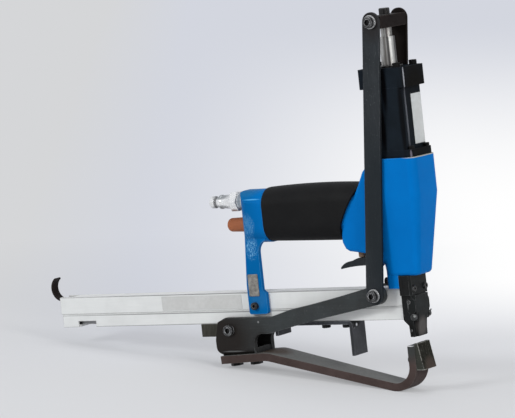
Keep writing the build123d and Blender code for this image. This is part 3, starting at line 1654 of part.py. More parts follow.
# Nose: body with the blade channel, upper cover plate and front door
with BuildPart() as nose_body:
    with BuildSketch(SIDE):
        Polygon(
            (magazine_front, head_bottom),
            (nose_seat, head_bottom),
            (nose_seat, nose_tip),
            (nose_seat - nose_tip_thick, nose_tip),
            (nose_seat - nose_knee_thick, nose_knee_low),
            (magazine_front, nose_rear_low),
            align=None,
        )
    extrude(amount=nose_half, both=True)
    with BuildSketch(SIDE):
        Polygon(
            (magazine_front, head_bottom),
            (nose_seat, head_bottom),
            (nose_seat, flange_low),
            (magazine_front, flange_low),
            align=None,
        )
    extrude(amount=flange_half, both=True)
    with BuildSketch(moved(DECK, nose_seat, 0, nose_tip)):
        Rectangle(channel_thick, 2 * channel_half, align=(Align.MAX, Align.CENTER))
    extrude(amount=head_bottom - nose_tip, mode=Mode.SUBTRACT)
    with BuildSketch(moved(DECK, magazine_front, 0, staple_low)):
        Rectangle(
            nose_seat - channel_thick - magazine_front, 2 * channel_half, align=(Align.MIN, Align.CENTER)
        )
    extrude(amount=staple_high - staple_low, mode=Mode.SUBTRACT)
    with BuildSketch(across(nose_seat)):
        with Locations((-nose_screw_y, nose_screw_z), (nose_screw_y, nose_screw_z)):
            Circle(nose_screw_shank + screw_fit)
    extrude(amount=nose_cover_thick - nose_screw_length, mode=Mode.SUBTRACT)
    with BuildSketch(SIDE):
        with Locations((ear_pivot_x, ear_pivot_z)):
            Circle(ear_pin_shank + screw_fit)
        with Locations((spot_pin_x, spot_pin_z)):
            Circle(spot_pin_radius + screw_fit)
    extrude(amount=nose_half, both=True, mode=Mode.SUBTRACT)
nose_body.part.label = "nose_body"
export_step(nose_body.part, "parts/nose_body.step")

with BuildPart() as nose_cover:
    with BuildSketch(across(nose_seat)):
        with Locations((0, flange_low)):
            Rectangle(2 * flange_half, head_bottom - flange_low, align=(Align.CENTER, Align.MIN))
        with Locations((-nose_screw_y, nose_screw_z), (nose_screw_y, nose_screw_z)):
            Circle(nose_screw_shank + screw_fit, mode=Mode.SUBTRACT)
    extrude(amount=nose_cover_thick)
nose_cover.part.label = "nose_cover"
export_step(nose_cover.part, "parts/nose_cover.step")

with BuildPart() as nose_screws:
    add(cap_screw(
        moved(across(nose_seat + nose_cover_thick), -nose_screw_y, nose_screw_z), nose_screw_head,
        nose_screw_head_height, nose_screw_shank, nose_screw_length, nose_screw_key,
    ))
    mirror(about=MIDDLE)
nose_screws.part.label = "nose_screws"
export_step(nose_screws.part, "parts/nose_screws.step")

with BuildPart() as nose_door:
    with BuildSketch(SIDE):
        Polygon(
            (nose_seat, door_top),
            (door_front, door_top),
            (door_front, door_waist),
            (nose_seat + door_tip_thick, nose_tip),
            (nose_seat, nose_tip),
            align=None,
        )
    extrude(amount=door_tongue_half, both=True)
    with BuildSketch(SIDE):
        Polygon(
            (nose_seat, door_top),
            (door_front, door_top),
            (door_front, door_waist),
            (nose_seat + door_shoulder_thick, door_shoulder),
            (nose_seat, door_shoulder),
            align=None,
        )
    extrude(amount=door_half, both=True)
    for ear_side in (door_half, -door_half - ear_thick):
        with BuildSketch(moved(SIDE, ear_rear, ear_low, ear_side)):
            RectangleRounded(door_front - ear_rear, ear_height, ear_round, align=(Align.MIN, Align.MIN))
        extrude(amount=ear_thick)
    with BuildSketch(moved(SIDE, ear_pivot_x, ear_pivot_z)):
        Circle(ear_pin_shank + screw_fit)
    extrude(amount=door_half + ear_thick, both=True, mode=Mode.SUBTRACT)
    with BuildSketch(moved(SIDE, roller_x, roller_z, door_half)):
        Circle(roller_shank + screw_fit)
    extrude(amount=-roller_shank_length, mode=Mode.SUBTRACT)
    with BuildSketch(moved(SIDE, roller_x, roller_z, -door_half)):
        Circle(roller_shank + screw_fit)
    extrude(amount=roller_shank_length, mode=Mode.SUBTRACT)
    with BuildSketch(moved(SIDE, hook_x, hook_z, -door_half)):
        Circle(hook_wire + screw_fit)
    extrude(amount=-ear_thick, mode=Mode.SUBTRACT)
nose_door.part.label = "nose_door"
export_step(nose_door.part, "parts/nose_door.step")

with BuildPart() as nose_rollers:
    with BuildSketch(moved(SIDE, roller_x, roller_z, door_half)):
        Circle(roller_radius)
    extrude(amount=roller_length)
    with BuildSketch(moved(SIDE, roller_x, roller_z, door_half)):
        Circle(roller_shank)
    extrude(amount=-roller_shank_length)
    mirror(about=MIDDLE)
nose_rollers.part.label = "nose_rollers"
export_step(nose_rollers.part, "parts/nose_rollers.step")

with BuildPart() as nose_pins:
    with BuildSketch(moved(SIDE, ear_pivot_x, ear_pivot_z, door_half + ear_thick)):
        Circle(ear_pin_head)
    extrude(amount=ear_pin_proud)
    with BuildSketch(moved(SIDE, ear_pivot_x, ear_pivot_z, door_half + ear_thick)):
        Circle(ear_pin_shank)
    extrude(amount=channel_half + slide_gap - door_half - ear_thick)
    with BuildSketch(moved(SIDE, spot_pin_x, spot_pin_z, nose_half + spot_pin_proud)):
        Circle(spot_pin_radius)
    extrude(amount=channel_half + slide_gap - nose_half - spot_pin_proud)
    mirror(about=MIDDLE)
nose_pins.part.label = "nose_pins"
export_step(nose_pins.part, "parts/nose_pins.step")

# Wire hook on the left ear of the door
with BuildPart() as nose_hook:
    hook_plane = -door_half - roller_length - hook_wire - slide_gap
    route = [
        (hook_x, hook_z, -door_half - screw_fit),
        (hook_x, hook_z, hook_plane),
        (hook_x + hook_run, hook_z - hook_drop, hook_plane),
        (hook_x + hook_run + hook_lip_run, hook_z - hook_drop + hook_lip_rise, hook_plane),
    ]
    with BuildLine() as hook_line:
        FilletPolyline(*[SIDE.from_local_coords(point) for point in route], radius=hook_bend)
    with BuildSketch(Plane(origin=hook_line.line @ 0, z_dir=hook_line.line % 0)):
        Circle(hook_wire)
    sweep(path=hook_line.line)
nose_hook.part.label = "nose_hook"
export_step(nose_hook.part, "parts/nose_hook.step")
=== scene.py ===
# %% [markdown]
# # A clinching stapler in Blender
#
# The tool is an air stapler with a second, black cylinder on its head. That cylinder lifts a crosshead, two
# flat links carry the lift down to a bent lever, and the lever closes an anvil under the nose. The machined
# pieces arrive as a imported frame, already in place. This lesson rounds their edges, gives each surface its
# finish, and sets the light, the floor and the camera.

# %% Load the frame
import json
import math
from collections import namedtuple

import bmesh
import bpy
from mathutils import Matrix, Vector


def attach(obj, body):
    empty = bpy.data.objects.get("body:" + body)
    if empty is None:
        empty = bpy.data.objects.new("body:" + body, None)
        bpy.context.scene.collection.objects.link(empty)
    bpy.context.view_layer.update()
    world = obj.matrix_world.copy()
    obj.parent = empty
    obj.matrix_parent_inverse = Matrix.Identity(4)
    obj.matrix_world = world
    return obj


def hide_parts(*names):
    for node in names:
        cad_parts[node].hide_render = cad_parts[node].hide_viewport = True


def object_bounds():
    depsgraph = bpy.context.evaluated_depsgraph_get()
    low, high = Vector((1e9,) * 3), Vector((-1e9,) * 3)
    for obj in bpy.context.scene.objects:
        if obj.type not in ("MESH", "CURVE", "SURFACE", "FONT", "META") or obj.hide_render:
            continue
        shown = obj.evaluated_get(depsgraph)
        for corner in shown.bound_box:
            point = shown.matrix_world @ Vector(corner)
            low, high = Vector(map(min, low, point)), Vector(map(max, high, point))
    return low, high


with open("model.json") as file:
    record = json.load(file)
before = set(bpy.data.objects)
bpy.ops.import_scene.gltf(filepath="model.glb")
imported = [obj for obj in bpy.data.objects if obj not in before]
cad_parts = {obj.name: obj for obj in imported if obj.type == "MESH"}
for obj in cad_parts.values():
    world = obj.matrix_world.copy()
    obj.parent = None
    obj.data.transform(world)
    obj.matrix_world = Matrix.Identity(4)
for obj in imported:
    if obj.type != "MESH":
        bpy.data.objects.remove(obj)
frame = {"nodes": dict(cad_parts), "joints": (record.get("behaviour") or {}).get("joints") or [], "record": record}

nodes = frame["nodes"]
record = frame["record"]
bodies = record["behaviour"]["bodies"]
node_body = {node: body for body, members in bodies.items() for node in members}
node_slot = {subpart["node"]: subpart["material_slot"] for subpart in record["subparts"]}
cad_low, cad_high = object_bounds()
print("loaded", len(nodes), "nodes, box in metres", [round(side, 3) for side in cad_high - cad_low])

# %% [markdown]
# ## Places on the tool
#
# The tool stands pitched nose-up on its bar, so its own axes are not the world's. Two joints of the frame
# are enough to find them: the driver's stroke gives the direction down the head, and the pivot of the links
# on the crosshead gives a point on the same line. Marks and lines are then placed in millimetres, ahead of
# that line, to the left of the middle and above the underside of the magazine.

# %% The tool's own axes
joints = {joint["name"]: joint for joint in frame["joints"]}
drive_axis = Vector(joints["driver_stroke"]["axis"])
tool_pitch = math.atan2(drive_axis.x, -drive_axis.z)
tool_up = -drive_axis
tool_forward = Vector((tool_up.z, 0.0, -tool_up.x))
mm_per_m = 1000
crosshead_height_mm = 263.6
tool_foot = Vector(joints["link_swing"]["pos_m"]) - tool_up * crosshead_height_mm / mm_per_m


def on_tool(ahead, left, above):
    """A point given in millimetres in the tool's own axes, as a place in the world in metres."""
    in_side_plane = (tool_forward * ahead + tool_up * above) / mm_per_m
    return tool_foot + in_side_plane + Vector((0.0, left / mm_per_m, 0.0))


print("tool pitched by", round(math.degrees(tool_pitch), 2), "degrees")

# %% [markdown]
# ## The camera
#
# The picture was taken from far away with a long lens, so upright edges stay nearly parallel. The camera is
# set by two angles, a distance and the point it looks at. A long lens far away could also be faked with an
# orthographic camera, but then the near link would lose the little perspective that it has.

# %% Camera
view_azimuth = math.radians(33.9)
view_elevation = math.radians(9.5)
view_distance = 3.243
view_target = Vector((0.02368, 0.0, 0.14714))
picture_width = 515
focal_length_px = 3600
far_clip = 100.0

toward_camera = Vector((
    math.sin(view_azimuth) * math.cos(view_elevation),
    -math.cos(view_azimuth) * math.cos(view_elevation),
    math.sin(view_elevation),
))
camera = bpy.data.objects.new("camera", bpy.data.cameras.new("camera"))
camera.data.sensor_fit = "HORIZONTAL"
camera.data.lens = camera.data.sensor_width * focal_length_px / picture_width
camera.data.clip_end = far_clip
camera.location = view_target + view_distance * toward_camera
camera.rotation_euler = toward_camera.to_track_quat("Z", "Y").to_euler()
bpy.context.scene.collection.objects.link(camera)
bpy.context.scene.camera = camera
bpy.context.scene.view_settings.view_transform = "Standard"
print("camera lens", round(camera.data.lens, 1), "mm at", [round(c, 3) for c in camera.location])

# %% [markdown]
# ## Small helpers for shader nodes
#
# Every finish below is a handful of shader nodes. Adding each one by hand takes four or five lines, so one
# helper adds a node, sets its options and fills its sockets: a plain value is set, and a socket is linked.
# The other helpers are the few nodes that every finish needs, each with a plain name.

# %% Colours and nodes
def tone(red, green, blue):
    """A colour as it looks on screen, 0 to 255, turned into the linear numbers that a shader takes."""
    def linear(level):
        # The curve of a screen: straight near black, and a power above that.
        share = level / 255
        return share / 12.92 if share <= 0.04045 else ((share + 0.055) / 1.055) ** 2.4
    return (linear(red), linear(green), linear(blue), 1.0)


def add_node(tree, kind, inputs=None, **options):
    """One node with its options set and its input sockets filled or linked."""
    made = tree.nodes.new(kind)
    for name, value in options.items():
        setattr(made, name, value)
    for socket, value in (inputs or {}).items():
        if isinstance(value, bpy.types.NodeSocket):
            tree.links.new(value, made.inputs[socket])
        else:
            made.inputs[socket].default_value = value
    return made


def blend_colours(tree, mask, under, over):
    """The colour under where the mask is 0 and the colour over where it is 1."""
    factor, first, second, result = 0, 6, 7, 2
    mix = add_node(tree, "ShaderNodeMix", {factor: mask, first: under, second: over}, data_type="RGBA")
    return mix.outputs[result]


print("white on screen is", tone(255, 255, 255))

# %% Ranges, sums and noise
rising = (0.0, 1.0)
falling = (1.0, 0.0)


def remap(tree, value, source, target=rising, curve="LINEAR"):
    """A value moved from one range to another, and held inside it; an end may be a socket."""
    made = add_node(tree, "ShaderNodeMapRange", {
        "Value": value, "From Min": source[0], "From Max": source[1],
        "To Min": target[0], "To Max": target[1],
    }, interpolation_type=curve)
    return made.outputs["Result"]


def part_of(tree, mask, share):
    """A mask weakened to a share of its strength."""
    return remap(tree, mask, rising, (0.0, share))


def combine(tree, operation, first, second, held=True):
    """Two values added, multiplied or compared, and held between 0 and 1 unless told otherwise."""
    made = add_node(tree, "ShaderNodeMath", {0: first, 1: second}, operation=operation, use_clamp=held)
    return made.outputs["Value"]


def noise(tree, place, scale, detail, roughness=0.5):
    """Cloudy noise between 0 and 1, with its scale in clouds to the metre."""
    made = add_node(tree, "ShaderNodeTexNoise", {
        "Vector": place, "Scale": scale, "Detail": detail, "Roughness": roughness,
    })
    return made.outputs["Fac"]


print("ranges rise from", rising[0], "to", rising[1])

# %% Places in a shader
def surface_place(tree):
    """The place of a point of the surface, in the frame's own metres."""
    return add_node(tree, "ShaderNodeTexCoord").outputs["Object"]


def along_tool_axes(tree, vector):
    """A place or an offset turned into the tool's own axes."""
    made = add_node(tree, "ShaderNodeMapping", {"Vector": vector, "Rotation": (0.0, tool_pitch, 0.0)})
    return made.outputs["Vector"]


print("patterns are turned by", round(tool_pitch, 4), "radians to follow the tool")

# %% [markdown]
# ## Shared effects as node groups
#
# Most of this tool is dark metal that differs only in tint, grain and wear. So the effects are node groups,
# built once and placed in each finish with its own numbers. Copying the nodes into every finish would work
# too, but then a better effect would have to be mended twenty times. Two helpers open and close a group.

# %% Group helpers
def effect_group(name, inputs, outputs):
    """An empty shader group with float inputs (or vectors, given as triples) and float outputs."""
    group = bpy.data.node_groups.new(name, "ShaderNodeTree")
    for socket, start in inputs.items():
        kind = "NodeSocketVector" if isinstance(start, tuple) else "NodeSocketFloat"
        group.interface.new_socket(socket, in_out="INPUT", socket_type=kind).default_value = start
    for socket in outputs:
        group.interface.new_socket(socket, in_out="OUTPUT", socket_type="NodeSocketFloat")
    return group, group.nodes.new("NodeGroupInput").outputs, group.nodes.new("NodeGroupOutput").inputs


def put_out(group, outputs, **results):
    """The group's results linked to its outputs."""
    for name, socket in results.items():
        group.links.new(socket, outputs[name])
    print("effect", group.name, "gives", sorted(results))


print("helpers", effect_group.__name__, "and", put_out.__name__)

# %% [markdown]
# ### Rubbed edges, and dirt and painted shade in corners
#
# Handling polishes a blackened edge down to bright metal, and dirt and painted shade darken inner corners.
# Vertex paint could mark both by hand. Ambient occlusion finds them by itself: measured inwards it is dark
# near an outer edge, and measured outwards it is dark near an inner corner. Noise breaks the rubbed line up.

# %% Rubbed edges
edge_light = (0.45, 1.0)
corner_light = (0.25, 0.85)
edge_patches = (0.35, 0.6)
occlusion_samples = 8

edge_group, given, outputs = effect_group(
    "rubbed_edges", {"Reach": 0.001, "Breakup": 400.0, "Corner Reach": 0.004}, ["Rubbed", "Dirty"]
)
inward = add_node(
    edge_group, "ShaderNodeAmbientOcclusion", {"Distance": given["Reach"]},
    inside=True, only_local=True, samples=occlusion_samples,
)
outward = add_node(
    edge_group, "ShaderNodeAmbientOcclusion", {"Distance": given["Corner Reach"]}, samples=occlusion_samples
)
breakup = noise(edge_group, surface_place(edge_group), given["Breakup"], detail=4.0, roughness=0.65)
near_edge = remap(edge_group, inward.outputs["AO"], edge_light, falling)
patchy = remap(edge_group, breakup, edge_patches)
put_out(
    edge_group, outputs,
    Rubbed=combine(edge_group, "MULTIPLY", near_edge, patchy),
    Dirty=remap(edge_group, outward.outputs["AO"], corner_light, falling),
)

# %% [markdown]
# ### Cloudy variation
#
# Stain, oil and uneven coating make slow clouds in a surface, and a casting or a blast finish adds fine
# grain. One noise on two scales gives both, so the grain of a finish always keeps its place in the clouds.

# %% Mottle
cloud_levels = (0.3, 0.7)
middle_grey = 0.5
grain_per_cloud = 9.0

mottle_group, given, outputs = effect_group("mottle", {"Scale": 60.0, "Contrast": 0.5}, ["Cloud", "Fine"])
place = surface_place(mottle_group)
clouds = noise(mottle_group, place, given["Scale"], detail=5.0, roughness=0.6)
grain_scale = combine(mottle_group, "MULTIPLY", given["Scale"], grain_per_cloud, held=False)
lowest = combine(mottle_group, "SUBTRACT", middle_grey, given["Contrast"], held=False)
highest = combine(mottle_group, "ADD", middle_grey, given["Contrast"], held=False)
put_out(
    mottle_group, outputs,
    Cloud=remap(mottle_group, clouds, cloud_levels, (lowest, highest)),
    Fine=noise(mottle_group, place, grain_scale, detail=3.0),
)

# %% [markdown]
# ### Drawn lines
#
# Rolling, brushing and grinding leave fine lines in one direction. A wave texture would repeat, so the
# lines are noise that is stretched along one of the tool's own axes: a small stretch makes a long line.

# %% Lines along the tool
line_levels = (0.3, 0.7)
along_tool = (0.04, 1.0, 1.0)
up_tool = (1.0, 1.0, 0.04)

lines_group, given, outputs = effect_group(
    "drawn_lines", {"Stretch": (1.0, 1.0, 1.0), "Scale": 900.0}, ["Lines"]
)
level = along_tool_axes(lines_group, surface_place(lines_group))
drawn = add_node(lines_group, "ShaderNodeMapping", {"Vector": level, "Scale": given["Stretch"]})
lines = noise(lines_group, drawn.outputs["Vector"], given["Scale"], detail=2.0)
put_out(lines_group, outputs, Lines=remap(lines_group, lines, line_levels))

# %% [markdown]
# ### Specks
#
# Chips and nicks are small, sharp-edged and uneven. Rough noise cut off at a high level leaves just its
# peaks, and the share moves that level, so one input goes from a few specks to many.

# %% Specks
peak_level = 0.72
speck_softness = 0.05

specks_group, given, outputs = effect_group("specks", {"Scale": 300.0, "Share": 0.3}, ["Speck"])
flakes = noise(specks_group, surface_place(specks_group), given["Scale"], detail=6.0, roughness=0.75)
speck_edge = combine(specks_group, "SUBTRACT", peak_level, given["Share"], held=False)
speck_body = combine(specks_group, "ADD", speck_edge, speck_softness, held=False)
put_out(specks_group, outputs, Speck=remap(specks_group, flakes, (speck_edge, speck_body)))

# %% [markdown]
# ### One soft spot
#
# Some marks are in one place only: a worn line on a corner, a smear, the shade of a link on the cylinder. A
# painted image could hold them, but it would need a flat map of every piece. Here a mark is an ellipsoid in
# the tool's own axes, full inside its core and fading out to its reach.

# %% Soft spot
spot_group, given, outputs = effect_group(
    "soft_spot", {"Centre": (0.0, 0.0, 0.0), "Reach": (0.01, 0.01, 0.01), "Core": 0.5}, ["Mask"]
)
place = surface_place(spot_group)
offset = add_node(
    spot_group, "ShaderNodeVectorMath", {0: place, 1: given["Centre"]}, operation="SUBTRACT"
)
level = along_tool_axes(spot_group, offset.outputs["Vector"])
share = add_node(spot_group, "ShaderNodeVectorMath", {0: level, 1: given["Reach"]}, operation="DIVIDE")
spread = add_node(spot_group, "ShaderNodeVectorMath", {0: share.outputs["Vector"]}, operation="LENGTH")
put_out(
    spot_group, outputs,
    Mask=remap(spot_group, spread.outputs["Value"], (given["Core"], 1.0), falling),
)

# %% [markdown]
# ### Faces that look one way
#
# Dust and oil settle on faces that look up, which also get painted light from above here, and side faces
# that look one way get painted light from that side. The normal of the surface, compared with one direction,
# tells such faces apart without picking them by hand.

# %% Facing
face_turn = (0.5, 0.95)
upwards = (0.0, 0.0, 1.0)
to_the_right = (0.0, -1.0, 0.0)

facing_group, given, outputs = effect_group("facing", {"Direction": upwards}, ["Mask"])
normal = add_node(facing_group, "ShaderNodeTexCoord").outputs["Normal"]
agrees = add_node(
    facing_group, "ShaderNodeVectorMath", {0: normal, 1: given["Direction"]}, operation="DOT_PRODUCT"
)
put_out(facing_group, outputs, Mask=remap(facing_group, agrees.outputs["Value"], face_turn))

# %% [markdown]
# ## Effects in a finish
#
# A finish is a material: its colour starts from a base tint, and each effect blends another tint over it.
# The helpers place a group with its own values, add single marks, and press relief into the surface. A mark
# says where it is and how far it reaches, in millimetres in the tool's axes, with its tint and its
# strength.

# %% Finish helpers
Mark = namedtuple("Mark", "at reach tint share")
finishes = {}


def new_finish(name):
    """A new material, with the node tree and the Principled shader that a finish works on."""
    material = bpy.data.materials.new(name)
    material.use_nodes = True
    return material, material.node_tree, material.node_tree.nodes["Principled BSDF"]


def place_group(tree, group, **values):
    """One shared effect in a finish, with its own values; an underscore stands for a space in a name."""
    made = add_node(tree, "ShaderNodeGroup", node_tree=group)
    for name, value in values.items():
        made.inputs[name.replace("_", " ")].default_value = value
    return made.outputs


def spot_mask(tree, at, reach):
    """The mask of one soft spot, placed and sized in millimetres in the tool's axes."""
    return place_group(tree, spot_group, Centre=on_tool(*at), Reach=Vector(reach) / mm_per_m)["Mask"]


def add_marks(tree, shader, marks):
    """Marks blended over the colour that the shader has so far, one after another."""
    for name, mark in marks.items():
        under = shader.inputs["Base Color"].links[0].from_socket
        mask = part_of(tree, spot_mask(tree, mark.at, mark.reach), mark.share)
        marked = blend_colours(tree, mask, under, mark.tint)
        marked.node.label = name
        tree.links.new(marked, shader.inputs["Base Color"])


def bump(tree, shader, height, depth):
    """Relief in the shader's normal, depth in metres."""
    made = add_node(tree, "ShaderNodeBump", {"Height": height, "Distance": depth})
    tree.links.new(made.outputs["Normal"], shader.inputs["Normal"])


print("a mark has", Mark._fields)

# %% [markdown]
# ## Dark metals
#
# Links, lever, clamp cylinder, bar, nose and screws are all black or brown-black, and what tells them apart
# is small: the links are blue-grey, the bar is brown, the screws have bright rims. One function makes them
# all from a base tint, a stain tint, the tint of the metal where it is rubbed, and how far that rubbing
# goes.

# %% Dark metal
metal_clouds = 45.0
metal_lines = 1400.0
line_peaks = (0.4, 1.0)
corner_dirt_and_shade = tone(16, 15, 15)
corner_dirt_and_shade_share = 0.6
gloss_levels = (0.3, 0.7)
smoother = 0.08
rougher = 0.1


def dark_metal(
    name, tint, stain, rubbed, roughness, edge, lines=up_tool, lined=0.06, metallic=0.2, gloss=0.2,
    grain=2e-5, nicks=0.0, dust_and_top_light=None, lit_side_tint=None, marks=None,
):
    """A blackened metal: stained in clouds, lined one way, rubbed for a width of edge, in metres."""
    material, tree, shader = new_finish(name)
    edges = place_group(tree, edge_group, Reach=edge, Breakup=350.0, Corner_Reach=0.004)
    clouds = place_group(tree, mottle_group, Scale=metal_clouds, Contrast=0.5)
    strokes = place_group(tree, lines_group, Stretch=lines, Scale=metal_lines)
    colour = blend_colours(tree, clouds["Cloud"], tint, stain)
    colour = blend_colours(tree, remap(tree, strokes["Lines"], line_peaks, (0.0, lined)), colour, rubbed)
    # Inner corners get dirt and painted shade.
    colour = blend_colours(tree, part_of(tree, edges["Dirty"], corner_dirt_and_shade_share), colour, corner_dirt_and_shade)
    # Faces that look up get dust and painted light from above.
    if dust_and_top_light:
        dusty = place_group(tree, facing_group, Direction=upwards)
        colour = blend_colours(tree, dusty["Mask"], colour, dust_and_top_light)
    # Faces that look to the right get painted light from that side.
    if lit_side_tint:
        sideways = place_group(tree, facing_group, Direction=to_the_right)
        colour = blend_colours(tree, sideways["Mask"], colour, lit_side_tint)
    if nicks:
        flakes = place_group(tree, specks_group, Scale=500.0, Share=0.11)
        colour = blend_colours(tree, part_of(tree, flakes["Speck"], nicks), colour, rubbed)
    colour = blend_colours(tree, edges["Rubbed"], colour, rubbed)
    tree.links.new(colour, shader.inputs["Base Color"])
    add_marks(tree, shader, marks or {})
    uneven = remap(tree, clouds["Fine"], gloss_levels, (roughness - smoother, roughness + rougher))
    tree.links.new(uneven, shader.inputs["Roughness"])
    shader.inputs["Metallic"].default_value = metallic
    shader.inputs["Specular IOR Level"].default_value = gloss
    bump(tree, shader, clouds["Fine"], grain)
    return material


print("dark metals have", metal_lines, "lines to the metre")

# %% [markdown]
# ### Links, crosshead and latch
#
# The near link and the trigger are blued steel, sawn from flat bar, with nicks from the bench, and painted
# shade darkens the near link's upper end. The crosshead and the latch have gone brown, and have next to no
# shine. The far link takes their dark brown as painted shade, with more painted shade on its upper part.
# One black for all would be quicker, but then the near link would melt into the far one.

# %% Blackened and browned steel
finishes["black_steel"] = dark_metal(
    "blackened_steel", tint=tone(38, 42, 46), stain=tone(30, 34, 37), rubbed=tone(104, 108, 110),
    roughness=0.5, edge=0.0006, nicks=0.35, marks={
        # Painted shade on the near link's upper end, beside the crosshead.
        "shaded upper end": Mark(at=(0, -26, 264), reach=(16, 12, 22), tint=tone(30, 27, 27), share=0.8),
        "bluer lower half": Mark(at=(-10, -26, 85), reach=(24, 12, 100), tint=tone(20, 28, 33), share=0.75),
    },
)
# Real brown on the crosshead and the latch, and painted shade on the far link.
finishes["brown_steel"] = dark_metal(
    "browned_and_shaded_steel", tint=tone(25, 18, 16), stain=tone(19, 14, 13), rubbed=tone(80, 72, 68),
    roughness=0.5, edge=0.0005, metallic=0.0, gloss=0.06, nicks=0.2, marks={
        "shaded far link": Mark(at=(0, 24, 245), reach=(20, 8, 45), tint=tone(12, 8, 6), share=0.7),
    },
)
print("finishes", len(finishes))

# %% [markdown]
# ### Lever and stop plate
#
# Both are bent from plate. The lever is brown at its rear, darkened with painted shade inside its window,
# and bright with scratches where it rubs, with a painted reflection along its lower edge. The stop plate
# is blue-grey, with a painted glint at its eye in the front leg, set in painted shade. Scratches could be
# cut into the mesh, but they have no depth that shows, so marks do.

# %% Bent plate
# A bright tint for scratches, and for the painted reflection on the lower edge.
scratches_and_sheen = tone(150, 152, 152)
finishes["lever_steel"] = dark_metal(
    "lever_steel", tint=tone(55, 59, 60), stain=tone(46, 48, 48), rubbed=tone(108, 110, 110),
    roughness=0.5, edge=0.0006, lines=along_tool, nicks=0.3, marks={
        # Painted shade inside the window and a painted reflection on the lower edge; the other bright marks are
        # scratches.
        "brown rear": Mark(at=(-206, 0, -14), reach=(60, 60, 40), tint=tone(27, 20, 16), share=0.9),
        "shaded window": Mark(at=(-154.5, -14, -16.5), reach=(13, 20, 11), tint=tone(20, 17, 15), share=0.8),
        "worn upper edge": Mark(at=(-136, -15, 12.4), reach=(15, 6, 0.8), tint=scratches_and_sheen, share=0.5),
        "bright nick": Mark(at=(-157.8, -16, 1.9), reach=(1.2, 3, 1.2), tint=scratches_and_sheen, share=0.6),
        "lower edge reflection": Mark(at=(-188, -15, -24.6), reach=(14, 4, 0.9), tint=scratches_and_sheen, share=0.4),
        "upright scratch": Mark(at=(-102.8, -18, 10.6), reach=(0.5, 4, 5), tint=scratches_and_sheen, share=0.25),
    },
)
finishes["blue_grey_steel"] = dark_metal(
    "bent_strip_steel", tint=tone(66, 68, 72), stain=tone(50, 51, 55), rubbed=tone(130, 132, 136),
    roughness=0.5, edge=0.0008, nicks=0.3, marks={
        "dark near edge": Mark(at=(-63, -10.5, -17), reach=(4, 0.8, 22), tint=tone(44, 45, 48), share=0.9),
        # A painted glint at the eye, set in painted shade.
        "shade round the eye": Mark(at=(-61.4, -3, -3), reach=(4, 8, 4), tint=tone(14, 14, 15), share=0.9),
        "painted glint at the eye": Mark(at=(-61.4, -3, -4.2), reach=(3, 1.8, 1.7), tint=tone(235, 236, 238), share=1.0),
    },
)
print("finishes", len(finishes))

# %% [markdown]
# ### Clamp cylinder
#
# The cylinder is black anodised aluminium, satin and nearly without metal colour. What shows is the soft
# shade that the near link throws on it, more shade on its front and on one corner, and thin lines of light on
# its corners, all painted. A smaller lamp could draw them, but it would harden every other shadow. So they
# are marks, in fixed places on the cylinder.

# %% Anodised cylinder
link_shade = tone(8, 6, 7)
finishes["black_aluminium"] = dark_metal(
    "black_anodised", tint=tone(27, 34, 41), stain=tone(21, 26, 31), rubbed=tone(46, 52, 60),
    roughness=0.45, edge=0.0003, lined=0.03, metallic=0.0, gloss=0.02, marks={
        # Painted shade on the front and in a strip on the near corner.
        "shaded brown-black front": Mark(at=(28, 0, 185), reach=(12, 40, 80), tint=tone(15, 13, 10), share=0.9),
        "upper link shade": Mark(at=(2.5, -17.7, 206), reach=(3.4, 3, 26), tint=link_shade, share=0.85),
        "lower link shade": Mark(at=(-2.5, -17.7, 170), reach=(3.4, 3, 26), tint=link_shade, share=0.85),
        "shaded corner": Mark(at=(17.5, -16.7, 177), reach=(3.2, 2.6, 44), tint=tone(12, 12, 13), share=0.85),
        # Painted highlights on the corners and on the wall of the groove.
        "cover edge highlight": Mark(at=(23.2, -16.5, 213), reach=(0.8, 0.8, 14), tint=tone(150, 152, 158), share=0.8),
        "base edge highlight": Mark(at=(23, -16.7, 146), reach=(1.2, 1.2, 5), tint=tone(110, 106, 118), share=0.8),
        "groove edge highlight": Mark(at=(18.2, -10, 177), reach=(1.4, 0.8, 40), tint=tone(128, 132, 140), share=0.9),
    },
)
print("finishes", len(finishes))

# %% [markdown]
# ### Bar and anvil pad
#
# The bar is hot-bent flat steel, brown from oil and heat, with grey dust and painted light from above on its
# upper face, and a cooler, filed toe. Dust could be a thin skin of mesh. A mask of the faces that look up is
# simpler, and it follows the bend. The pad is an olive block with bright ground edges, side faces made paler
# with painted light, and a brown smear at its foot.

# %% Oiled bar and olive pad
finishes["forged_bar"] = dark_metal(
    "oiled_bar", tint=tone(79, 66, 63), stain=tone(60, 49, 46), rubbed=tone(94, 86, 82),
    roughness=0.6, edge=0.0007, lines=along_tool, gloss=0.12, grain=5e-5, nicks=0.45,
    # Its upper faces are grey with dust and painted light from above.
    dust_and_top_light=tone(112, 113, 111), marks={
        "filed toe": Mark(at=(-2, 0, -25), reach=(14, 26, 17), tint=tone(57, 60, 59), share=0.9),
        "toe edge": Mark(at=(-3, -10.5, -23.3), reach=(5, 1.2, 0.9), tint=tone(215, 216, 216), share=0.9),
        "brown bend": Mark(at=(-154, 0, -26), reach=(22, 16, 12), tint=tone(78, 64, 54), share=0.85),
    },
)
finishes["olive_pad"] = dark_metal(
    "anvil_olive", tint=tone(26, 26, 13), stain=tone(16, 14, 6), rubbed=tone(180, 179, 172),
    # Its side faces are painted paler, as lit from that side.
    roughness=0.5, edge=0.0008, gloss=0.08, grain=8e-5, nicks=0.35, lit_side_tint=tone(54, 55, 50), marks={
        "brown foot": Mark(at=(9, 2, -45), reach=(9, 11, 13), tint=tone(74, 63, 57), share=0.75),
        "dull rear edge": Mark(at=(1.2, -10.3, -33), reach=(1.6, 1.2, 16), tint=tone(44, 45, 41), share=0.9),
    },
)
print("finishes", len(finishes))

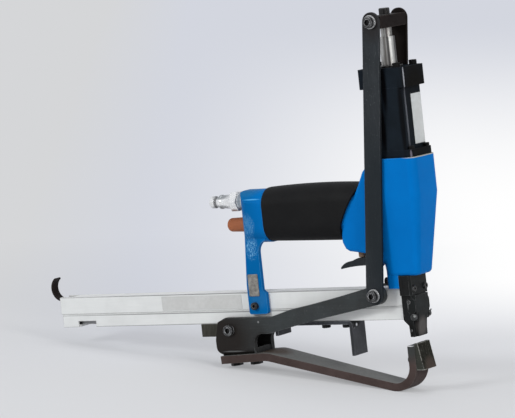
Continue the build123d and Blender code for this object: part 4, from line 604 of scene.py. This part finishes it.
# %% [markdown]
# ### Nose
#
# The nose is a stack of hardened black plates. The door's tongue is worn grey by the work that it presses
# on, the flange above it stays black, painted shade darkens a strip beside the tongue, and a thin gap of
# painted shade and dirt, with one rubbed edge, shows where the door's ear begins. A slot could be cut for
# that gap, but it is a pixel wide, so it is a mark.

# %% Nose plates
finishes["nose_steel"] = dark_metal(
    "nose_black", tint=tone(26, 30, 30), stain=tone(18, 18, 18), rubbed=tone(84, 86, 86),
    roughness=0.45, edge=0.0004, metallic=0.0, gloss=0.12, nicks=0.2, marks={
        "worn tongue": Mark(at=(5.6, -1, -7), reach=(6, 9, 11), tint=tone(80, 77, 75), share=0.85),
        "black flange": Mark(at=(9, -2, 31), reach=(8, 14, 10), tint=tone(9, 12, 12), share=0.7),
        # Painted shade beside the tongue, and painted shade and dirt in the gap behind the ear.
        "shade beside the tongue": Mark(at=(0.5, -10.6, -9), reach=(4.4, 3, 9), tint=tone(8, 8, 7), share=0.8),
        "shade and dirt behind the ear": Mark(at=(-1.6, -11, 12), reach=(1.1, 2, 9), tint=tone(6, 6, 6), share=0.9),
        "rubbed ear edge": Mark(at=(0.2, -11.9, 13), reach=(0.9, 1.5, 5), tint=tone(96, 98, 98), share=0.6),
    },
)
print("finishes", len(finishes))

# %% [markdown]
# ### Screws, washers and pins
#
# All the screws were black once. Those that are often turned, at the links and the lever's pivot, have
# bright rims, those of the links stand on worn washers, and those of the cylinder are still black. Each
# could be painted by hand. Here the width of the rubbed edge tells an old screw from a fresh one.

# %% Fasteners
finishes["black_fasteners"] = dark_metal(
    "screw_black", tint=tone(30, 30, 31), stain=tone(22, 21, 20), rubbed=tone(165, 165, 165),
    roughness=0.4, edge=0.0006,
)
finishes["dark_screws"] = dark_metal(
    "screw_dark", tint=tone(24, 24, 25), stain=tone(18, 18, 18), rubbed=tone(62, 62, 63),
    roughness=0.45, edge=0.0003, metallic=0.0, gloss=0.05,
)
finishes["worn_screws"] = dark_metal(
    "screw_worn", tint=tone(26, 26, 27), stain=tone(18, 18, 18), rubbed=tone(205, 206, 208),
    roughness=0.35, edge=0.0011, metallic=0.3,
)
finishes["worn_washers"] = dark_metal(
    "washer_worn", tint=tone(150, 151, 152), stain=tone(92, 92, 92), rubbed=tone(236, 237, 238),
    roughness=0.35, edge=0.0010, lined=0.3, metallic=0.4,
)
finishes["dull_pins"] = dark_metal(
    "pin_dull", tint=tone(70, 72, 72), stain=tone(44, 45, 45), rubbed=tone(150, 150, 150),
    roughness=0.4, edge=0.0005, metallic=0.4, marks={
        "roller glint": Mark(at=(6.7, -13, 3.3), reach=(1.6, 3, 1.4), tint=tone(180, 182, 180), share=0.55),
    },
)
print("finishes", len(finishes))

# %% [markdown]
# ### Pivot block and inner steel
#
# The block under the magazine is milled aluminium with an olive coat, and the pistons inside are the same
# stock. The cutter's lines could be ridges in the mesh, but at this size strong drawn lines look the same.
# The driver, the staple rail and the pusher are ground tool steel, which is bright and fully metallic.

# %% Milled block and tool steel
finishes["piston_aluminium"] = dark_metal(
    "block_olive", tint=tone(54, 52, 45), stain=tone(41, 39, 33), rubbed=tone(110, 108, 100),
    roughness=0.5, edge=0.0007, lined=0.3,
)
finishes["tool_steel"] = dark_metal(
    "ground_tool_steel", tint=tone(150, 150, 152), stain=tone(120, 120, 122), rubbed=tone(200, 200, 200),
    roughness=0.35, edge=0.0006, lines=along_tool, lined=0.3, metallic=1.0, gloss=0.5,
)
print("dark finishes", sorted(finishes))

# %% [markdown]
# ## Blue paint
#
# The casting is sprayed blue over a light metal. Spray paint is never quite flat: it dries with a faint
# orange peel, thins on outer edges, and on the leg it is chipped where the tool is laid down. The colour
# stays almost even, so the orange peel and the gloss do most of the work.

# %% Blue paint
paint_gloss = (0.34, 0.46)
paint_shine = 0.03
orange_peel = 6e-5
shade_share = 0.35
thin_share = 0.3
material, tree, shader = new_finish("blue_paint")
edges = place_group(tree, edge_group, Reach=0.0008, Breakup=500.0, Corner_Reach=0.005)
clouds = place_group(tree, mottle_group, Scale=25.0, Contrast=0.4)
dull_rear = spot_mask(tree, at=(-172, 0, 60), reach=(46, 90, 150))
colour = blend_colours(tree, clouds["Cloud"], tone(0, 111, 188), tone(0, 103, 178))
colour = blend_colours(tree, dull_rear, colour, tone(0, 93, 154))
# Inner corners of the paint are darkened with painted shade.
colour = blend_colours(tree, part_of(tree, edges["Dirty"], shade_share), colour, tone(4, 66, 122))
colour = blend_colours(tree, part_of(tree, edges["Rubbed"], thin_share), colour, tone(110, 170, 212))
tree.links.new(remap(tree, clouds["Fine"], gloss_levels, paint_gloss), shader.inputs["Roughness"])
shader.inputs["Specular IOR Level"].default_value = paint_shine
bump(tree, shader, clouds["Cloud"], orange_peel)
print("paint", material.name, "with relief", orange_peel, "m")

# %% [markdown]
# ### Chips and smears in the paint
#
# The chips lie on the leg in two patches. Chips all over would look like snow, so the specks are multiplied
# by two soft spots. Then come a painted line of light on the handle's end, a painted highlight on the head's
# upper edge, and two dusty smears.

# %% Chipped paint
chip_share = 0.9
chips = place_group(tree, specks_group, Scale=1100.0, Share=0.19)
upper_chips = spot_mask(tree, at=(-157.6, -14, 90), reach=(9, 20, 12))
lower_chips = spot_mask(tree, at=(-158.7, -13, 70), reach=(8, 20, 14))
near_chips = combine(tree, "MAXIMUM", upper_chips, lower_chips)
chipped = combine(tree, "MULTIPLY", chips["Speck"], part_of(tree, near_chips, chip_share))
tree.links.new(blend_colours(tree, chipped, colour, tone(140, 200, 230)), shader.inputs["Base Color"])
add_marks(tree, shader, {
    # A painted line of light on the handle's end, and a painted highlight on the head's upper edge.
    "handle's shine": Mark(at=(-151, -17, 112.8), reach=(11, 5, 0.7), tint=tone(90, 175, 228), share=0.7),
    "upper edge highlight": Mark(at=(26, 0, 143.5), reach=(14, 40, 1.0), tint=tone(190, 182, 152), share=0.8),
    "dusty foot": Mark(at=(-156.6, -14, 22.6), reach=(12, 20, 11), tint=tone(62, 118, 160), share=0.25),
    "dusty shoulder": Mark(at=(-160, -5, 120), reach=(16, 25, 8), tint=tone(34, 100, 144), share=0.55),
})
finishes["blue_casting"] = material
print("finishes", len(finishes))

# %% [markdown]
# ## Moulded and sintered surfaces
#
# Rubber, plastic, paper and sintered metal have one thing in common: a dull skin, and a grain that breaks
# up the light. Each could have nodes of its own. One function makes them all from a tint, a worn tint, a
# grain and its depth, because only those differ.

# %% Moulded surfaces
bloom_levels = (0.2, 1.0)
bloom_share = 0.7
worn_share = 0.5
roughness_spread = 0.07


def moulded(name, tint, worn, roughness, grain, depth, clouds=35.0, gloss=0.2):
    """A moulded or sintered surface: a fine grain, and a second tint in clouds and on worn edges."""
    material, tree, shader = new_finish(name)
    blooms = place_group(tree, mottle_group, Scale=clouds, Contrast=0.5)
    skin = place_group(tree, mottle_group, Scale=grain, Contrast=0.5)
    edges = place_group(tree, edge_group, Reach=0.001, Breakup=300.0, Corner_Reach=0.004)
    bloom = remap(tree, blooms["Cloud"], bloom_levels, (0.0, bloom_share))
    colour = blend_colours(tree, bloom, tint, worn)
    colour = blend_colours(tree, part_of(tree, edges["Rubbed"], worn_share), colour, worn)
    tree.links.new(colour, shader.inputs["Base Color"])
    uneven = remap(tree, skin["Cloud"], rising, (roughness - roughness_spread, roughness + roughness_spread))
    tree.links.new(uneven, shader.inputs["Roughness"])
    shader.inputs["Specular IOR Level"].default_value = gloss
    bump(tree, shader, skin["Cloud"], depth)
    return material


print("moulded surfaces bloom by", bloom_share)

# %% [markdown]
# ### Grip, seals, valve and silencer
#
# The grip is moulded rubber: nearly black, dull, with a fine skin grain that catches a little light on its
# crown. The seals inside are a greyer rubber, and the valve is tan plastic. The silencer is sintered
# bronze, small balls of metal fused together. Balls could be modelled one by one, but they are far smaller
# than a pixel, so a deep grain stands for them.

# %% Rubber, plastic and bronze
finishes["grip_rubber"] = moulded(
    "grip_rubber", tint=tone(18, 18, 19), worn=tone(25, 25, 25), roughness=0.6,
    grain=900.0, depth=4e-5, gloss=0.1,
)
finishes["seal_rubber"] = moulded(
    "seal_rubber", tint=tone(40, 40, 40), worn=tone(52, 52, 52), roughness=0.6,
    grain=900.0, depth=4e-5,
)
finishes["valve_plastic"] = moulded(
    "valve_plastic", tint=tone(128, 104, 84), worn=tone(150, 126, 104), roughness=0.5,
    grain=700.0, depth=4e-5,
)
finishes["bronze"] = moulded(
    "sintered_bronze", tint=tone(166, 100, 66), worn=tone(138, 80, 52), roughness=0.6,
    grain=500.0, depth=2.5e-4,
)
print("finishes", len(finishes))

# %% [markdown]
# ### Labels and leg plate
#
# The labels are blank paper and film, pale, with faint clouds and a dull sheen. The plate on the leg is
# etched metal, so its clouds are small and dark. Plain white would be quicker, but a flat white looks like
# a hole in the picture.

# %% Blank labels and plate
finishes["label_stock"] = moulded(
    "label_stock", tint=tone(206, 210, 210), worn=tone(190, 192, 190), roughness=0.55,
    grain=1200.0, depth=2e-5,
)
finishes["label_film"] = moulded(
    "label_film", tint=tone(200, 200, 198), worn=tone(184, 184, 181), roughness=0.5,
    grain=1200.0, depth=2e-5,
)
finishes["etched_plate"] = moulded(
    "etched_plate", tint=tone(152, 149, 143), worn=tone(70, 69, 66), roughness=0.5,
    grain=700.0, depth=8e-5, clouds=330.0,
)
print("finishes", len(finishes))

# %% [markdown]
# ## Pale and bright metals
#
# Magazine, rod, pins and plug are bright, and differ in how far they are polished and which way they are
# lined. A bright metal shows the room more than itself, so its colour could stay plain. Dull clouds, fine
# lines, and dirt and painted shade in the corners make it a used one, and one function gives all of them.

# %% Bright metal
bright_clouds = 45.0
dull_levels = (0.3, 1.0)
dull_share = 0.6
streak_levels = (0.35, 0.8)
grey_dirt_and_shade = tone(70, 68, 66)
grey_dirt_and_shade_share = 0.5
line_depth = 1e-5
polished = 0.05
scuffed = 0.08


def bright_metal(
    name, tint, dull, roughness, lines, metallic=1.0, line_scale=1500.0, streaks=0.0, rim=None, marks=None,
):
    """A bright metal with fine lines along one axis and a few dull clouds; a rim tint paints dark reflections on
    its rubbed outer edges.
    """
    material, tree, shader = new_finish(name)
    clouds = place_group(tree, mottle_group, Scale=bright_clouds, Contrast=0.5)
    strokes = place_group(tree, lines_group, Stretch=lines, Scale=line_scale)
    edges = place_group(tree, edge_group, Reach=0.0006, Breakup=400.0, Corner_Reach=0.003)
    colour = blend_colours(tree, remap(tree, clouds["Cloud"], dull_levels, (0.0, dull_share)), tint, dull)
    # Inner corners get grey dirt and painted shade.
    colour = blend_colours(tree, part_of(tree, edges["Dirty"], grey_dirt_and_shade_share), colour, grey_dirt_and_shade)
    colour = blend_colours(tree, remap(tree, strokes["Lines"], streak_levels, (0.0, streaks)), colour, dull)
    # The rim tint is a painted dark reflection on the outer edges.
    if rim:
        colour = blend_colours(tree, edges["Rubbed"], colour, rim)
    tree.links.new(colour, shader.inputs["Base Color"])
    add_marks(tree, shader, marks or {})
    uneven = remap(tree, strokes["Lines"], rising, (roughness - polished, roughness + scuffed))
    tree.links.new(uneven, shader.inputs["Roughness"])
    shader.inputs["Metallic"].default_value = metallic
    bump(tree, shader, strokes["Lines"], line_depth)
    return material


print("bright metals are lined", line_depth, "m deep")

# %% [markdown]
# ### Magazine
#
# The halves of the magazine are pale satin metal, drawn along their length, so the lines run that way. Its
# edges get painted dark reflections, and the seam between the halves is a dark joint. Their rounding alone
# is too small to show from this far, so each gets a long thin mark, and painted shade greys its front end.

# %% Satin magazine
# Dark grey for the joints, and for the painted dark reflections on the edges.
seam = tone(92, 92, 92)
finishes["magazine_metal"] = bright_metal(
    "magazine_satin", tint=tone(220, 221, 219), dull=tone(208, 209, 207), roughness=0.42, lines=along_tool,
    metallic=0.1, streaks=0.2, rim=tone(150, 150, 148), marks={
        # Painted dark reflections on the upper, lower and rear edges; the seam and the front joint are joints.
        "upper edge": Mark(at=(-190, -9, 28), reach=(260, 1.2, 0.9), tint=seam, share=0.8),
        "seam of the halves": Mark(at=(-190, -9, 10.7), reach=(260, 1.2, 0.7), tint=seam, share=0.7),
        "lower edge": Mark(at=(-190, -9, 0), reach=(260, 1.2, 0.8), tint=seam, share=0.7),
        "rear edge": Mark(at=(-387.2, -9, 18), reach=(0.9, 3, 14), tint=seam, share=0.7),
        "shaded magazine front": Mark(at=(-20, -9, 14), reach=(26, 3, 16), tint=tone(186, 187, 186), share=0.25),
        "front joint": Mark(at=(-36, -9, 19), reach=(0.5, 3, 9), tint=seam, share=0.5),
    },
)
print("finishes", len(finishes))

# %% [markdown]
# ### Rod and pins
#
# The pins are ground steel. The rod is polished, and a polished round bar shows its room as long bands.
# This studio is plain, so the streaks run along the rod and its dark bands are marks. A picture of a room
# around the tool would give them too, but it would change every other surface.

# %% Ground rod and pins
along_rod = (1.0, 1.0, 0.005)
finishes["bright_steel"] = bright_metal(
    "ground_steel", tint=tone(205, 205, 206), dull=tone(150, 150, 152), roughness=0.25,
    lines=up_tool, streaks=0.5,
)
finishes["rod_steel"] = bright_metal(
    "rod_steel", tint=tone(232, 233, 230), dull=tone(112, 104, 98), roughness=0.3, lines=along_rod,
    metallic=0.4, line_scale=500.0, streaks=0.6, marks={
        # Painted reflections: dark bands along the rod and on its neck.
        "dark front band": Mark(at=(6.2, 2.4, 235), reach=(3.0, 6.0, 70), tint=tone(20, 19, 18), share=0.95),
        "grey near band": Mark(at=(3.9, -5.8, 235), reach=(1.6, 1.6, 70), tint=tone(50, 46, 46), share=0.85),
        "dark neck band": Mark(at=(2.8, -4.1, 254), reach=(1.3, 1.3, 9), tint=tone(70, 56, 54), share=0.8),
    },
)
print("finishes", len(finishes))

# %% [markdown]
# ### Air plug
#
# The plug is turned in steps with a groove, and nickel plated, which is nearly a mirror. Its grey bands, its
# step and its collar are painted reflections, as on the rod, and painted shade darkens its groove. A warm
# painted reflection of the bronze silencer lies on its underside.

# %% Nickel plug
finishes["nickel"] = bright_metal(
    "nickel_plate", tint=tone(250, 250, 249), dull=tone(196, 197, 198), roughness=0.22, lines=along_tool,
    metallic=0.6, streaks=0.3, rim=tone(110, 110, 110), marks={
        # Painted reflections on the plug, and painted shade in its groove.
        "upper band": Mark(at=(-193, 0, 115.4), reach=(12, 20, 3.2), tint=tone(104, 110, 114), share=0.75),
        "lower band": Mark(at=(-193, 0, 105.2), reach=(12, 20, 3.6), tint=tone(100, 100, 103), share=0.7),
        "dark groove": Mark(at=(-198.8, 0, 110.3), reach=(2.0, 20, 20), tint=tone(70, 70, 72), share=0.8),
        "thin step": Mark(at=(-181.6, 0, 110.3), reach=(0.9, 20, 20), tint=tone(120, 120, 122), share=0.6),
        "collar": Mark(at=(-170.6, 0, 110.3), reach=(3.2, 20, 20), tint=tone(116, 130, 142), share=0.85),
        "bronze reflection": Mark(at=(-177.5, 0, 101.5), reach=(6, 20, 3.6), tint=tone(112, 80, 72), share=0.85),
    },
)
print("finishes in all", len(finishes))

# %% [markdown]
# ## Which finish goes where
#
# A piece takes the finish of its material slot. Some pieces share a slot, because they are the same stock,
# but look different on the tool, so those are named with a finish of their own. Naming a finish for every
# piece would work too, and would be three times as long.

# %% Finish of each node
own_finish = {
    # The far link takes the brown finish as painted shade.
    "crosshead": "brown_steel", "rear_latch": "brown_steel", "link_left": "brown_steel",
    "lever": "lever_steel", "stop_plate": "blue_grey_steel", "anvil_pad": "olive_pad",
    "leg_plate": "etched_plate", "magazine_label": "label_film", "clamp_rod": "rod_steel",
    "top_washers": "worn_washers", "low_washers": "worn_washers",
    "top_screws": "worn_screws", "low_screws": "worn_screws", "pivot_screws": "worn_screws",
    "base_screws": "dark_screws", "clamp_screws": "dark_screws", "rod_bush": "black_fasteners",
    "nose_rollers": "dull_pins", "nose_pins": "dull_pins",
}


def finish_of(node):
    """The material that a node, or the piece that stands for it, is finished with."""
    return finishes[own_finish.get(node, node_slot[node])]


print("nodes with a finish of their own", len(own_finish))

# %% [markdown]
# ## Rounding the edges
#
# A CAD edge is perfectly sharp, and no real edge is: a saw, a press or a file leaves a small radius, and
# that radius is what catches the light. A Bevel modifier could do it live. Here the bevel is made with an
# operator on a merged copy of each node, because then only outer edges are rounded and inner corners stay
# crisp. The copy stands for the node, rides on its body and takes its slot.

# %% A rounded copy
merge_distance = 1e-6
flat_angle = math.radians(0.4)
outer_angle = math.radians(28)
crease_angle = math.radians(40)


def rounded_copy(node, radius, segments=2):
    """A copy of a node with its outer edges rounded; it stands for the node and rides on its body."""
    shape = bmesh.new()
    shape.from_mesh(nodes[node].data)
    bmesh.ops.remove_doubles(shape, verts=shape.verts, dist=merge_distance)
    bmesh.ops.dissolve_limit(shape, angle_limit=flat_angle, verts=shape.verts, edges=shape.edges)
    outer = [edge for edge in shape.edges if edge.is_convex and edge.calc_face_angle(0.0) > outer_angle]
    bmesh.ops.bevel(
        shape, geom=outer, offset=radius, offset_type="OFFSET", segments=segments, profile=0.5,
        affect="EDGES", clamp_overlap=True, material=-1,
    )
    mesh = bpy.data.meshes.new(node + "_rounded")
    shape.to_mesh(mesh)
    shape.free()
    mesh.shade_smooth()
    mesh.set_sharp_from_angle(angle=crease_angle)
    mesh.materials.append(finish_of(node))
    piece = bpy.data.objects.new(node + "_rounded", mesh)
    bpy.context.scene.collection.objects.link(piece)
    even = piece.modifiers.new("even_shading", "WEIGHTED_NORMAL")
    even.keep_sharp = True
    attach(piece, node_body[node])
    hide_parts(node)
    return piece


print("outer edges turn by more than", round(math.degrees(outer_angle)), "degrees")

# %% Radius of each piece's edges
radius_mm = {
    0.8: ["anvil_arm"],
    0.6: ["grip_sleeve"],
    0.5: ["lever", "link_right", "link_left", "crosshead", "anvil_pad", "pivot_block"],
    0.4: ["housing", "clamp_base", "clamp_barrel", "clamp_cover", "stop_plate", "trigger", "rear_latch"],
    0.3: [
        "nose_body", "nose_cover", "nose_door", "magazine_rail", "magazine_cover", "magazine_end",
        "arm_bolts", "top_washers", "low_washers",
    ],
    0.2: [
        "leg_plate", "air_plug", "top_screws", "low_screws", "pivot_screws", "crosshead_screw",
        "clamp_screws", "base_screws", "case_screws", "under_screws", "nose_rollers", "rod_bush", "silencer",
    ],
    0.1: ["nose_screws"],
}
rounded = {}
for radius, group in radius_mm.items():
    for node in group:
        rounded[node] = rounded_copy(node, radius / mm_per_m)
        print(node, "rounded,", len(rounded[node].data.polygons), "faces")

# %% [markdown]
# ## Pieces that stay as they are
#
# Labels, pins, the rod and everything inside the tool keep their own mesh. They could be rounded as well,
# but it would not show on them, so they only get the better finish.

# %% Finishes on the nodes that stay
kept = {node: thing for node, thing in nodes.items() if node not in rounded}
for node, thing in kept.items():
    thing.data.materials.clear()
    thing.data.materials.append(finish_of(node))
print("nodes kept as they are", len(kept))

# %% [markdown]
# ## Floor
#
# The tool stands on a pale sheet that runs back without a horizon. A big disc does that for any camera
# angle, and a curved backdrop would hide the tool from behind. The disc is part painted and part glowing,
# and the glow is only seen and lights nothing, so that it stays pale while the soft shadow under the bar
# still shows.

# %% Floor disc
floor_radius = 12.0
floor_segments = 64
floor_shape = bmesh.new()
bmesh.ops.create_circle(floor_shape, cap_ends=True, radius=floor_radius, segments=floor_segments)
floor_mesh = bpy.data.meshes.new("floor")
floor_shape.to_mesh(floor_mesh)
floor_shape.free()
floor = bpy.data.objects.new("floor", floor_mesh)
bpy.context.scene.collection.objects.link(floor)
print("floor of radius", floor_radius, "m")

# %% [markdown]
# ### The sheet's colour
#
# The sheet is grey in front and on the left, a little blue behind the tool, and glows white to the right of
# it, as paper does under one lamp. The places are metres on the floor, across the picture and away from it,
# so the pattern lies on the floor and not on the camera.

# %% Sheet
glow_across = (-0.133, 0.297)
glow_away = (-0.09, 0.454)
glow_end = (0.796, 2.834)
blue_across = (-0.24, -0.1)
blue_away = (-0.05, 0.4)

floor_material = bpy.data.materials.new("pale_floor")
floor_material.use_nodes = True
floor_mesh.materials.append(floor_material)
tree = floor_material.node_tree
tree.nodes.clear()
place = surface_place(tree)
turned = add_node(
    tree, "ShaderNodeMapping", {"Vector": place, "Rotation": (0.0, 0.0, view_azimuth)}, vector_type="TEXTURE"
)
sides = add_node(tree, "ShaderNodeSeparateXYZ", {"Vector": turned.outputs["Vector"]}).outputs
across, away = sides["X"], sides["Y"]
glow_right = remap(tree, across, glow_across, curve="SMOOTHSTEP")
glow_near = remap(tree, away, glow_away, curve="SMOOTHSTEP")
glow_far = remap(tree, away, glow_end, falling, curve="SMOOTHSTEP")
glow = combine(tree, "MULTIPLY", combine(tree, "MULTIPLY", glow_right, glow_near), glow_far)
blue = combine(tree, "MULTIPLY", remap(tree, across, blue_across), remap(tree, away, blue_away))
plain = blend_colours(tree, blue, tone(213, 214, 216), tone(211, 214, 223))
sheet = blend_colours(tree, glow, plain, tone(255, 255, 255))
print("sheet glows from", glow_across, "across and", glow_away, "away")

# %% Paint and glow
near_tool = (0.2, 0.7)
least_glow = 0.45


def seen_directly(tree):
    """A mask for rays that see a surface: from the camera, in a reflection or through glass."""
    path = add_node(tree, "ShaderNodeLightPath").outputs
    seen = combine(tree, "MAXIMUM", path["Is Camera Ray"], path["Is Glossy Ray"])
    return combine(tree, "MAXIMUM", seen, path["Is Transmission Ray"])


from_tool = add_node(tree, "ShaderNodeVectorMath", {0: place}, operation="LENGTH").outputs["Value"]
open_floor = remap(tree, from_tool, near_tool, (least_glow, 1.0))
glow_share = combine(tree, "MAXIMUM", open_floor, glow)
painted = add_node(tree, "ShaderNodeBsdfDiffuse", {"Color": sheet})
glowing = add_node(tree, "ShaderNodeEmission", {"Color": sheet, "Strength": 1.0})
shown_glow = combine(tree, "MULTIPLY", seen_directly(tree), glow_share)
mixed = add_node(
    tree, "ShaderNodeMixShader", {0: shown_glow, 1: painted.outputs[0], 2: glowing.outputs[0]}
)
add_node(tree, "ShaderNodeOutputMaterial", {"Surface": mixed.outputs[0]})
print("beside the tool the floor glows by", least_glow)

# %% [markdown]
# ## World
#
# The world is the room. It lights the tool softly from all round, and bright metal reflects it: pale behind
# the tool, and darker on the camera's side, as a room is behind a camera. One plain colour would
# leave the plug and the rod flat.

# %% World
room_strength = 0.55
darker_side = (0.1, 0.7)
world = bpy.data.worlds.new("studio")
world.use_nodes = True
bpy.context.scene.world = world
tree = world.node_tree
tree.nodes.clear()
room = add_node(tree, "ShaderNodeBackground", {"Color": tone(214, 216, 222), "Strength": room_strength})
direction = add_node(tree, "ShaderNodeTexCoord").outputs["Generated"]
toward_room = add_node(
    tree, "ShaderNodeVectorMath", {0: direction, 1: toward_camera}, operation="DOT_PRODUCT"
)
room_side = remap(tree, toward_room.outputs["Value"], darker_side)
surround = blend_colours(tree, room_side, tone(211, 213, 219), tone(104, 106, 110))
backdrop = add_node(tree, "ShaderNodeBackground", {"Color": surround, "Strength": 1.0})
seen = seen_directly(tree)
mixed = add_node(tree, "ShaderNodeMixShader", {0: seen, 1: room.outputs[0], 2: backdrop.outputs[0]})
add_node(tree, "ShaderNodeOutputWorld", {"Surface": mixed.outputs[0]})
print("room lit at", room_strength)

# %% [markdown]
# ## Lamps
#
# Three soft panels do the rest: a large one overhead for the shadow under the bar, one beside the tool for
# the face that the camera sees, and a warmer one in front of the nose. Small lamps would be simpler, but
# they leave hard shadows and hot spots on the paint.

# %% Soft panels
middle = (cad_low + cad_high) / 2


def soft_panel(name, place, side, power, tint):
    """A large square lamp that looks at the middle of the tool."""
    lamp = bpy.data.objects.new(name, bpy.data.lights.new(name, "AREA"))
    lamp.data.shape = "SQUARE"
    lamp.data.size = side
    lamp.data.energy = power
    lamp.data.color = tint
    lamp.location = place
    lamp.rotation_euler = (Vector(place) - middle).to_track_quat("Z", "Y").to_euler()
    bpy.context.scene.collection.objects.link(lamp)
    print(name, "of", power, "watts")


soft_panel("overhead_panel", place=(0.0, 0.1, 1.7), side=1.4, power=9.0, tint=(1.0, 1.0, 1.0))
soft_panel("side_panel", place=(-0.6, -1.75, 1.0), side=0.5, power=19.5, tint=(0.97, 0.99, 1.0))
soft_panel("front_panel", place=(1.6, -0.6, 0.95), side=0.6, power=14.0, tint=(1.0, 0.98, 0.96))
